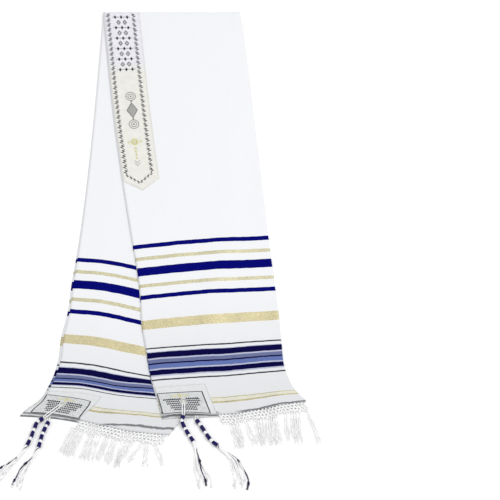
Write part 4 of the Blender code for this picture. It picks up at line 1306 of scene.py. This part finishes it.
    def sew(self, yarns, half, pitch, top):
        """Stitches round the edge and close-set stitches round the eyelet."""
        inset = 1.6
        left, right = SEWN_INSET + inset, SEWN_INSET + PATCH_WIDTH - inset
        low, high = SEWN_INSET + inset, SEWN_INSET + PATCH_HEIGHT - inset
        corners = ((left, low), (right, low), (right, high), (left, high), (left, low))
        for start, end in zip(corners, corners[1:]):
            places = np.array(start) + (np.array(end) - start) * np.linspace(0, 1, 12)[:, None]
            path = lifted_point(half, places[:, 0] / FOLDED_WIDTH, places[:, 1], top)
            add_stitches(yarns, path, pitch, self.SEWING)
        for turn in np.arange(self.EYELET_STITCHES) * math.tau / self.EYELET_STITCHES:
            way = np.array((math.cos(turn), math.sin(turn)))
            reaches = np.array((EYELET_RADIUS - 0.3, EYELET_RADIUS, EYELET_RADIUS + 1.0, EYELET_RADIUS + 2.0))
            places = np.array((EYELET_ACROSS, EYELET_UP)) + way * reaches[:, None]
            lifts = np.array((top - 0.7, top + 0.15, top + 0.4, top))
            path = lifted_point(half, places[:, 0] / FOLDED_WIDTH, places[:, 1], lifts[:, None])
            yarns.add(path, 0.32, self.SEWING, sides=5)


class TALLIT_OT_fringes(bpy.types.Operator):
    """Builds the knotted net under each hem and its tassels"""

    bl_idname = "tallit.fringes"
    bl_label = "Fringes"
    bl_options = {"REGISTER", "UNDO"}

    NET_PITCH = 7.0
    NET_ROWS = (0.0, 6.5, 13.0, 19.5)
    KNOT = 1.2
    ROOT_KNOT = 1.9
    # How far the yarns between two knots part, to the left and to the right
    LINK_BOWS = (-1.4, -0.5, 0.4, 1.2)
    YARNS_PER_STRAND = 6
    STRAND_WIDTH = 3.4
    STEPS = 20
    LOWEST = 0.55

    def execute(self, context):
        yarn = context.scene.tallit.yarn
        radius = yarn.fringe_radius / MM
        material = twisted_yarn("spun_cotton_yarn_fringe", (*yarn.fringe,), 0.85, 0.2, 0.1)
        for name, upper_tassels, under_tassels in (
            ("front", FRONT_UPPER_TASSELS, FRONT_UNDER_TASSELS),
            ("back", BACK_UPPER_TASSELS, BACK_UNDER_TASSELS),
        ):
            yarns = Yarns()
            half = HALVES[name]
            for is_upper, tassels in ((True, upper_tassels), (False, under_tassels)):
                self.tie_net(yarns, half, is_upper, radius)
                self.hang_tassels(yarns, half, is_upper, tassels, radius)
            add_piece("fringe_" + name + "_piece", yarns.finish(), [material], ["fringe_" + name])
        return {"FINISHED"}

    def net_point(self, half, is_upper, along, drop):
        """A point of the net, at a place along the hem and a distance below it. It hangs unevenly."""
        loose = drop / HEADING_HEIGHT
        sideways = 1.6 * math.sin(along / 5.3 + drop / 2.7) * loose
        sag = (2.2 * math.sin(along / 10.3 + 0.6) + 1.0 * math.sin(along / 3.4)) * loose
        return layer_point(half, (along + sideways) / FOLDED_WIDTH, -drop - sag, is_upper)

    def tie_net(self, yarns, half, is_upper, radius):
        """Groups of warp ends that part and join their neighbours in rows of knots."""
        count = int((FOLDED_WIDTH - HEADING_STARTS) / self.NET_PITCH)
        for row, drop in enumerate(self.NET_ROWS):
            for place in range(count + 1):
                along = HEADING_STARTS + (place + 0.5 * (row % 2)) * self.NET_PITCH
                if along > FOLDED_WIDTH:
                    continue
                here = self.net_point(half, is_upper, along, drop)
                if row > 0:
                    yarns.knot(here, self.KNOT, squash=0.8)
                if row + 1 == len(self.NET_ROWS):
                    continue
                for side in (-0.5, 0.5):
                    there = along + side * self.NET_PITCH
                    if HEADING_STARTS - 1 <= there <= FOLDED_WIDTH:
                        self.tie_link(yarns, half, is_upper, (along, drop), (there, self.NET_ROWS[row + 1]),
                                      radius)

    def tie_link(self, yarns, half, is_upper, start, end, radius):
        """Yarns that part a little between two knots."""
        for bow in self.LINK_BOWS:
            aside = bow * (1 + 0.6 * math.sin(1.7 * start[0] + end[1]))
            path = []
            for share in (0.0, 0.25, 0.5, 0.75, 1.0):
                along = start[0] + (end[0] - start[0]) * share + aside * math.sin(math.pi * share)
                drop = start[1] + (end[1] - start[1]) * share
                path.append(self.net_point(half, is_upper, along, drop))
            yarns.add(path, radius, sides=4)

    def hang_tassels(self, yarns, half, is_upper, tassels, radius):
        """Each tassel's yarns, from its knot in the net to their ends on the surface."""
        rest = UPPER_STRAND_REST if is_upper else UNDER_STRAND_REST
        number = 0
        for tassel in tassels:
            for strand in range(tassel.strands):
                place = strand - (tassel.strands - 1) / 2
                root = self.net_point(half, is_upper, tassel.at + place * tassel.root_pitch,
                                      self.NET_ROWS[-1])
                yarns.knot(root + (0, -1.2, 0), self.ROOT_KNOT, squash=0.75)
                for yarn in range(self.YARNS_PER_STRAND):
                    number += 1
                    path = self.hanging_path(root, tassel, place, rest, number, yarn)
                    thin = np.linspace(1.0, 0.75, len(path))
                    yarns.add(path, radius * thin, sides=4)

    def hanging_path(self, root, tassel, place, rest, number, yarn):
        """The path of one yarn of a tassel. Each wanders and ends a little differently."""
        beside = (yarn - (self.YARNS_PER_STRAND - 1) / 2) / self.YARNS_PER_STRAND
        spread = place * (tassel.end_pitch - tassel.root_pitch) + beside * self.STRAND_WIDTH
        reach = tassel.reach * (1 + 0.08 * math.sin(2.4 * number) + 0.04 * math.sin(7.1 * number))
        t = np.linspace(0, 1, self.STEPS + 1)
        # The whole strand bends slowly, and each yarn keeps the kinks of the weave that it was drawn from
        wander = 2.0 * np.sin(2.2 * math.pi * t + tassel.at + 1.9 * place)
        crimp = 1.1 * np.sin(10.5 * t + 2.1 * number) + 0.6 * np.sin(21 * t + 3.3 * number)
        x = root[0] + (tassel.lean + wander) * t + spread * smooth_step(t * 2.2) + crimp * smooth_step(t * 3)
        y = root[1] - reach * t
        # Yarns lie on each other, and none lower than the surface
        low = max(rest - 0.4, 0.6) + abs(0.55 * math.sin(3.7 * number))
        z = root[2] + (low - root[2]) * smooth_step(t * 2.5) + 0.2 * np.sin(11 * t + number) * t
        return np.stack((x, y, np.maximum(z, self.LOWEST)), axis=1)


def tassel_rest(row, x, y, hem):
    """Height of what a corner tassel lies on: the under layer's hem, the back half's edge or the surface."""
    height = 0.0
    if row.half == "front":
        on_back = 1 - smooth_step((BACK.past_edge(x, y) - KNOT_RADIUS) / KNOT_COMES_DOWN)
        height = on_back * (LAYER_PITCH * 2 + BACK.swelling(x, y))
    if row.is_upper:
        on_hem = smooth_step((y - hem + KNOT_PASSES_HEM) / KNOT_COMES_DOWN + 1)
        height = max(height, on_hem * (layer_height(HALVES[row.half], x, hem, False) + CLOTH_WALL / 2))
    return height


class TALLIT_OT_corner_tassels(bpy.types.Operator):
    """Builds the four corner tassels: knot, wound cord and eight twisted cords each"""

    bl_idname = "tallit.corner_tassels"
    bl_label = "Corner tassels"
    bl_options = {"REGISTER", "UNDO"}

    TURN_PITCH = 1.75
    TURN_RADIUS = 0.95
    # How far the ends of each winding tuck in
    ENDS_TUCK = 0.9
    STEPS_PER_TURN = 14
    CORDS = 8
    PLIES = 3
    PLY_TWIST = 7.0
    KNOTS_AT = (0.42, 0.86)
    WHITE, BLUE, DARK = 0, 1, 2

    def execute(self, context):
        yarn = context.scene.tallit.yarn
        materials = [
            twisted_yarn("spun_wool_cord_white", (*yarn.cord,), 0.8, 0.2, 0.16),
            twisted_yarn("spun_wool_cord_blue", (*yarn.wound,), 0.75, 0.1, 0.3),
            twisted_yarn("spun_wool_cord_dark_blue", (*yarn.thread,), 0.75, 0.1, 0.3),
        ]
        for row in CORNER_TASSELS:
            yarns = Yarns()
            centre = self.winding_path(row)
            self.wind(yarns, centre)
            self.hang_cords(yarns, row, centre, yarn.cord_radius / MM)
            self.tie_to_cloth(yarns, row, centre, yarn.cord_radius / MM)
            add_piece(row.name + "_piece", yarns.finish(), materials, [row.name])
        return {"FINISHED"}

    def winding_path(self, row):
        """The middle of the winding, coming down from the cloth to the surface."""
        hem = HALVES[row.half].under_hem_y(row.winding[0][0])
        flat = smooth_path(row.winding, 160)
        heights = [tassel_rest(row, x, y, hem) + SEAM_GAP + KNOT_RADIUS for x, y in flat]
        return np.column_stack((flat, heights))

    def wind(self, yarns, centre):
        """Blue turns wound close together, with white turns between them, over a white core."""
        yarns.add(centre[::4], WHITE_RADIUS - 0.9, self.WHITE, sides=8)
        total = sum(turn.length for turn in WINDINGS) + WHITE_LENGTH * (len(WINDINGS) - 1)
        at = 0.0
        for index, turn in enumerate(WINDINGS):
            self.add_turns(yarns, centre, at / total, (at + turn.length) / total, turn.length,
                           turn.radius, self.BLUE)
            at += turn.length
            if index + 1 < len(WINDINGS):
                self.add_turns(yarns, centre, at / total, (at + WHITE_LENGTH) / total, WHITE_LENGTH,
                               WHITE_RADIUS + 0.2, self.WHITE)
                at += WHITE_LENGTH

    def add_turns(self, yarns, centre, start, end, length, radius, material):
        """A close helix of cord round part of the winding's middle."""
        turns = max(2, round(length / self.TURN_PITCH))
        steps = turns * self.STEPS_PER_TURN
        across, over = directions_along(centre)
        share = np.linspace(start, end, steps + 1) * (len(centre) - 1)
        whole = np.minimum(share.astype(int), len(centre) - 2)
        part = (share - whole)[:, None]
        middle = centre[whole] * (1 - part) + centre[whole + 1] * part
        angle = np.linspace(0, math.tau * turns, steps + 1)
        ease = np.minimum(1.0, np.minimum(angle, angle[-1] - angle) / math.pi)
        out = radius - self.TURN_RADIUS - self.ENDS_TUCK * (1 - ease)
        offset = across[whole] * np.cos(angle)[:, None] + over[whole] * np.sin(angle)[:, None]
        yarns.add(middle + offset * out[:, None], self.TURN_RADIUS, material, sides=6)

    def cord_path(self, row, start, number):
        """The path of one of the cords that the winding ends in."""
        path = [(start[0], start[1]), *row.cords]
        flat = smooth_path(path, 60)
        t = np.linspace(0, 1, 61)
        # They end at different lengths
        keep = t <= 1 - 0.05 * (number * 3 % 5)
        along = normalized(np.gradient(flat, axis=0))
        place = number / (self.CORDS - 1) - 0.5
        shift = row.spread * place * smooth_step(t * 1.15)
        shift = shift + (2.4 * np.sin(5.5 * t + 1.7 * number) + 1.3 * np.sin(13 * t + 2.9 * number)) * t
        # The cords run round each other just past the winding
        bundled = 1 - smooth_step(t / 0.35)
        twirl = math.tau * (3.4 * t + number / self.CORDS)
        shift = shift + 2.1 * np.sin(twirl) * bundled
        x = flat[:, 0] + along[:, 1] * shift
        y = flat[:, 1] - along[:, 0] * shift
        low = CORD_REST - 0.3 + 0.9 * (number % 3) * np.sin(math.pi * np.minimum(1, t * 1.2)) ** 2
        z = start[2] + (low - start[2]) * smooth_step(t * 2) + 1.7 * np.cos(twirl) * bundled
        return np.stack((x, y, z), axis=1)[keep]

    def hang_cords(self, yarns, row, centre, radius):
        """Eight cords, one of them dark, with a knot part of the way down and one near its end."""
        for number in range(self.CORDS):
            path = self.cord_path(row, centre[-1], number)
            is_dark = number == row.dark_cord
            self.twist(yarns, path, radius, self.DARK if is_dark else self.WHITE, number)
            if is_dark:
                for share in self.KNOTS_AT:
                    self.tie_knot(yarns, path, share, radius, self.DARK)

    def twist(self, yarns, path, radius, material, number):
        """A cord of plies that open out at its end."""
        steps = max(12, round(path_length(path) / 1.5))
        middle = smooth_path(path, steps)
        across, over = directions_along(middle)
        share = np.linspace(0, 1, steps + 1)
        opening = 1 + 2.6 * smooth_step((share - 0.88) / 0.12)
        low = middle[:, 2] - radius * 1.1
        turns = share * path_length(path) / self.PLY_TWIST
        for ply in range(self.PLIES):
            angle = math.tau * (turns + ply / self.PLIES) + number
            offset = (across * np.cos(angle)[:, None] + over * np.sin(angle)[:, None]) * radius * 0.5
            offset[:, 2] /= opening
            points = middle + offset * opening[:, None]
            points[:, 2] = np.maximum(points[:, 2], np.maximum(low, 0) + radius * 0.35)
            yarns.add(points, radius * 0.56 * (1 - 0.4 * smooth_step((share - 0.9) / 0.1)), material, sides=5)

    def tie_knot(self, yarns, path, share, radius, material):
        """A tight knot of three turns round a cord."""
        middle = smooth_path(path, 100)
        first = int(share * 100)
        piece = middle[first:first + 7]
        across, over = directions_along(piece)
        angle = np.linspace(0, math.tau * 3, 37)
        at = np.linspace(0, len(piece) - 1.001, 37)
        whole = at.astype(int)
        part = (at - whole)[:, None]
        centre = piece[whole] * (1 - part) + piece[whole + 1] * part
        offset = across[whole] * np.cos(angle)[:, None] + over[whole] * np.sin(angle)[:, None]
        points = centre + offset * radius * 1.35
        points[:, 2] = np.maximum(points[:, 2], radius * 0.9)
        yarns.add(points, radius * 0.8, material, sides=6)

    def tie_to_cloth(self, yarns, row, centre, radius):
        """The two cords that hold the knot: to the eyelet, or to the under layer's hem."""
        half = HALVES[row.half]
        knot = centre[0]
        for beside in (-BRIDLE_SPREAD, BRIDLE_SPREAD):
            if row.is_upper:
                points = self.bridle_over_patch(half, knot, beside)
            else:
                x = knot[0] + beside * 0.9
                hem = half.under_hem_y(x)
                height = max(1.7, float(layer_height(half, x, hem, False)))
                points = [knot + (beside * 0.5, 0, 0.5), (x, hem - 3.5, height), (x, hem + 3.0, height)]
            self.twist(yarns, smooth_path(points, 24), radius, self.WHITE, beside)

    def bridle_over_patch(self, half, knot, beside):
        """A cord from the knot over the hem and the patch, and down into the eyelet."""
        eyelet = eyelet_point(half)
        back = knot - eyelet
        back[2] = 0
        length = np.linalg.norm(back)
        back = back / length
        aside = np.array((back[1], -back[0], 0))
        points = [knot + aside * beside * 0.6 + (0, 0, 1.5)]
        for left in (length * 0.8, length * 0.6, length * 0.4, EYELET_RADIUS + 1.0, 1.5):
            here = eyelet + back * left + aside * beside * min(1.0, left / 8)
            here[2] = float(layer_height(half, here[0], here[1], True)) + CLOTH_WALL / 2 + 1.0 + 1.6
            points.append(here)
        points[-1][2] = eyelet[2] + 0.2
        return points


class TALLIT_OT_stage(bpy.types.Operator):
    """Lays a pale floor and a backdrop, and sets soft lights and the camera"""

    bl_idname = "tallit.stage"
    bl_label = "Stage"
    bl_options = {"REGISTER", "UNDO"}

    AIM = (188.7 * MM, -11.8 * MM, 0.0)
    WIDTH_SEEN = 1.045
    FLOOR_REACH = 6.0
    BACKDROP_BEND = 1.5
    # Name, place and size in metres, and power in watts
    LAMPS = (("key", (1.3, 0.2, 2.9), 2.2, 42), ("fill", (-2.0, -0.8, 2.4), 2.4, 12))
    LAMPS_AIM = (0, -0.05, 0)
    ROOM_STRENGTH = 0.76

    def execute(self, context):
        stage = context.scene.tallit.stage
        # Plain sRGB, so that a white cloth on white comes out as white as in a catalogue photo
        context.scene.view_settings.view_transform = "Standard"
        self.lay_floor(stage)
        self.hang_lights(context.scene)
        self.place_camera(context.scene, stage)
        return {"FINISHED"}

    def lay_floor(self, stage):
        bm = bmesh.new()
        bmesh.ops.create_grid(bm, x_segments=1, y_segments=1, size=self.FLOOR_REACH)
        far = [edge for edge in bm.edges if all(vert.co.y > self.FLOOR_REACH * 0.9 for vert in edge.verts)]
        made = bmesh.ops.extrude_edge_only(bm, edges=far)["geom"]
        raised = [vert for vert in made if isinstance(vert, bmesh.types.BMVert)]
        bmesh.ops.translate(bm, vec=(0, 0, self.FLOOR_REACH), verts=raised)
        bmesh.ops.bevel(bm, geom=far, affect="EDGES", offset=self.BACKDROP_BEND, segments=16, profile=0.5,
                        material=-1)
        bmesh.ops.recalc_face_normals(bm, faces=bm.faces)
        mesh = bpy.data.meshes.new("floor")
        bm.to_mesh(mesh)
        bm.free()
        mesh.shade_smooth()
        material, tree, shader = new_material("matt_paper_white", 0.9)
        grain = add_node(tree, "TexNoise", {"Vector": add_node(tree, "TexCoord", {}).outputs["Object"],
                                            "Scale": 12.0, "Detail": 2.0})
        shade = add_node(tree, "MapRange", {"Value": grain.outputs["Fac"], "To Min": 0.995, "To Max": 1.0})
        colour = add_node(tree, "VectorMath", {0: stage.floor, "Scale": shade.outputs["Result"]},
                          operation="SCALE")
        tree.links.new(colour.outputs["Vector"], shader.inputs["Base Color"])
        mesh.materials.append(material)
        floor = bpy.data.objects.new("floor", mesh)
        bpy.context.scene.collection.objects.link(floor)

    def hang_lights(self, scene):
        world = bpy.data.worlds.new("soft_room")
        scene.world = world
        world.use_nodes = True
        background = world.node_tree.nodes["Background"]
        background.inputs["Color"].default_value = (*linear("#fcfcfd"), 1)
        background.inputs["Strength"].default_value = self.ROOM_STRENGTH
        for name, place, size, power in self.LAMPS:
            lamp = bpy.data.lights.new(name, "AREA")
            lamp.energy = power
            lamp.size = size
            light = bpy.data.objects.new(name, lamp)
            light.location = place
            way = Vector(self.LAMPS_AIM) - Vector(place)
            light.rotation_euler = way.to_track_quat("-Z", "Y").to_euler()
            scene.collection.objects.link(light)

    def place_camera(self, scene, stage):
        lens = bpy.data.cameras.new("camera")
        lens.sensor_width = 36
        lens.lens = 36 * stage.distance / self.WIDTH_SEEN
        camera = bpy.data.objects.new("camera", lens)
        away = Vector((0, -math.cos(stage.elevation), math.sin(stage.elevation)))
        camera.location = Vector(self.AIM) + away * stage.distance
        camera.rotation_euler = (math.pi / 2 - stage.elevation, 0, 0)
        scene.collection.objects.link(camera)
        scene.camera = camera


OPERATORS = (
    TALLIT_OT_neckband,
    TALLIT_OT_corner_patches,
    TALLIT_OT_fringes,
    TALLIT_OT_corner_tassels,
    TALLIT_OT_shawl_cloth,
    TALLIT_OT_stage,
)


class TALLIT_PT_sidebar(bpy.types.Panel):
    """Lists the shawl's operators and settings"""

    bl_label = "Tallit Prayer Shawl"
    bl_idname = "TALLIT_PT_sidebar"
    bl_space_type = "VIEW_3D"
    bl_region_type = "UI"
    bl_category = "Tallit"

    def draw(self, context):
        settings = context.scene.tallit
        for group in (settings.cloth, settings.trim, settings.yarn, settings.stage):
            box = self.layout.box()
            for name in group.__annotations__:
                box.prop(group, name)
        for operator in OPERATORS:
            self.layout.operator(operator.bl_idname)


CLASSES = (
    TallitClothSettings,
    TallitTrimSettings,
    TallitYarnSettings,
    TallitStageSettings,
    TallitSettings,
    *OPERATORS,
    TALLIT_PT_sidebar,
)


def register():
    for cls in CLASSES:
        bpy.utils.register_class(cls)
    bpy.types.Scene.tallit = bpy.props.PointerProperty(type=TallitSettings)


def unregister():
    del bpy.types.Scene.tallit
    for cls in reversed(CLASSES):
        bpy.utils.unregister_class(cls)


def main():
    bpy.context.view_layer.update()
    register()
    bpy.ops.tallit.neckband()
    bpy.ops.tallit.corner_patches()
    bpy.ops.tallit.fringes()
    bpy.ops.tallit.corner_tassels()
    bpy.ops.tallit.shawl_cloth()
    bpy.ops.tallit.stage()


if __name__ == "__main__":
    main()
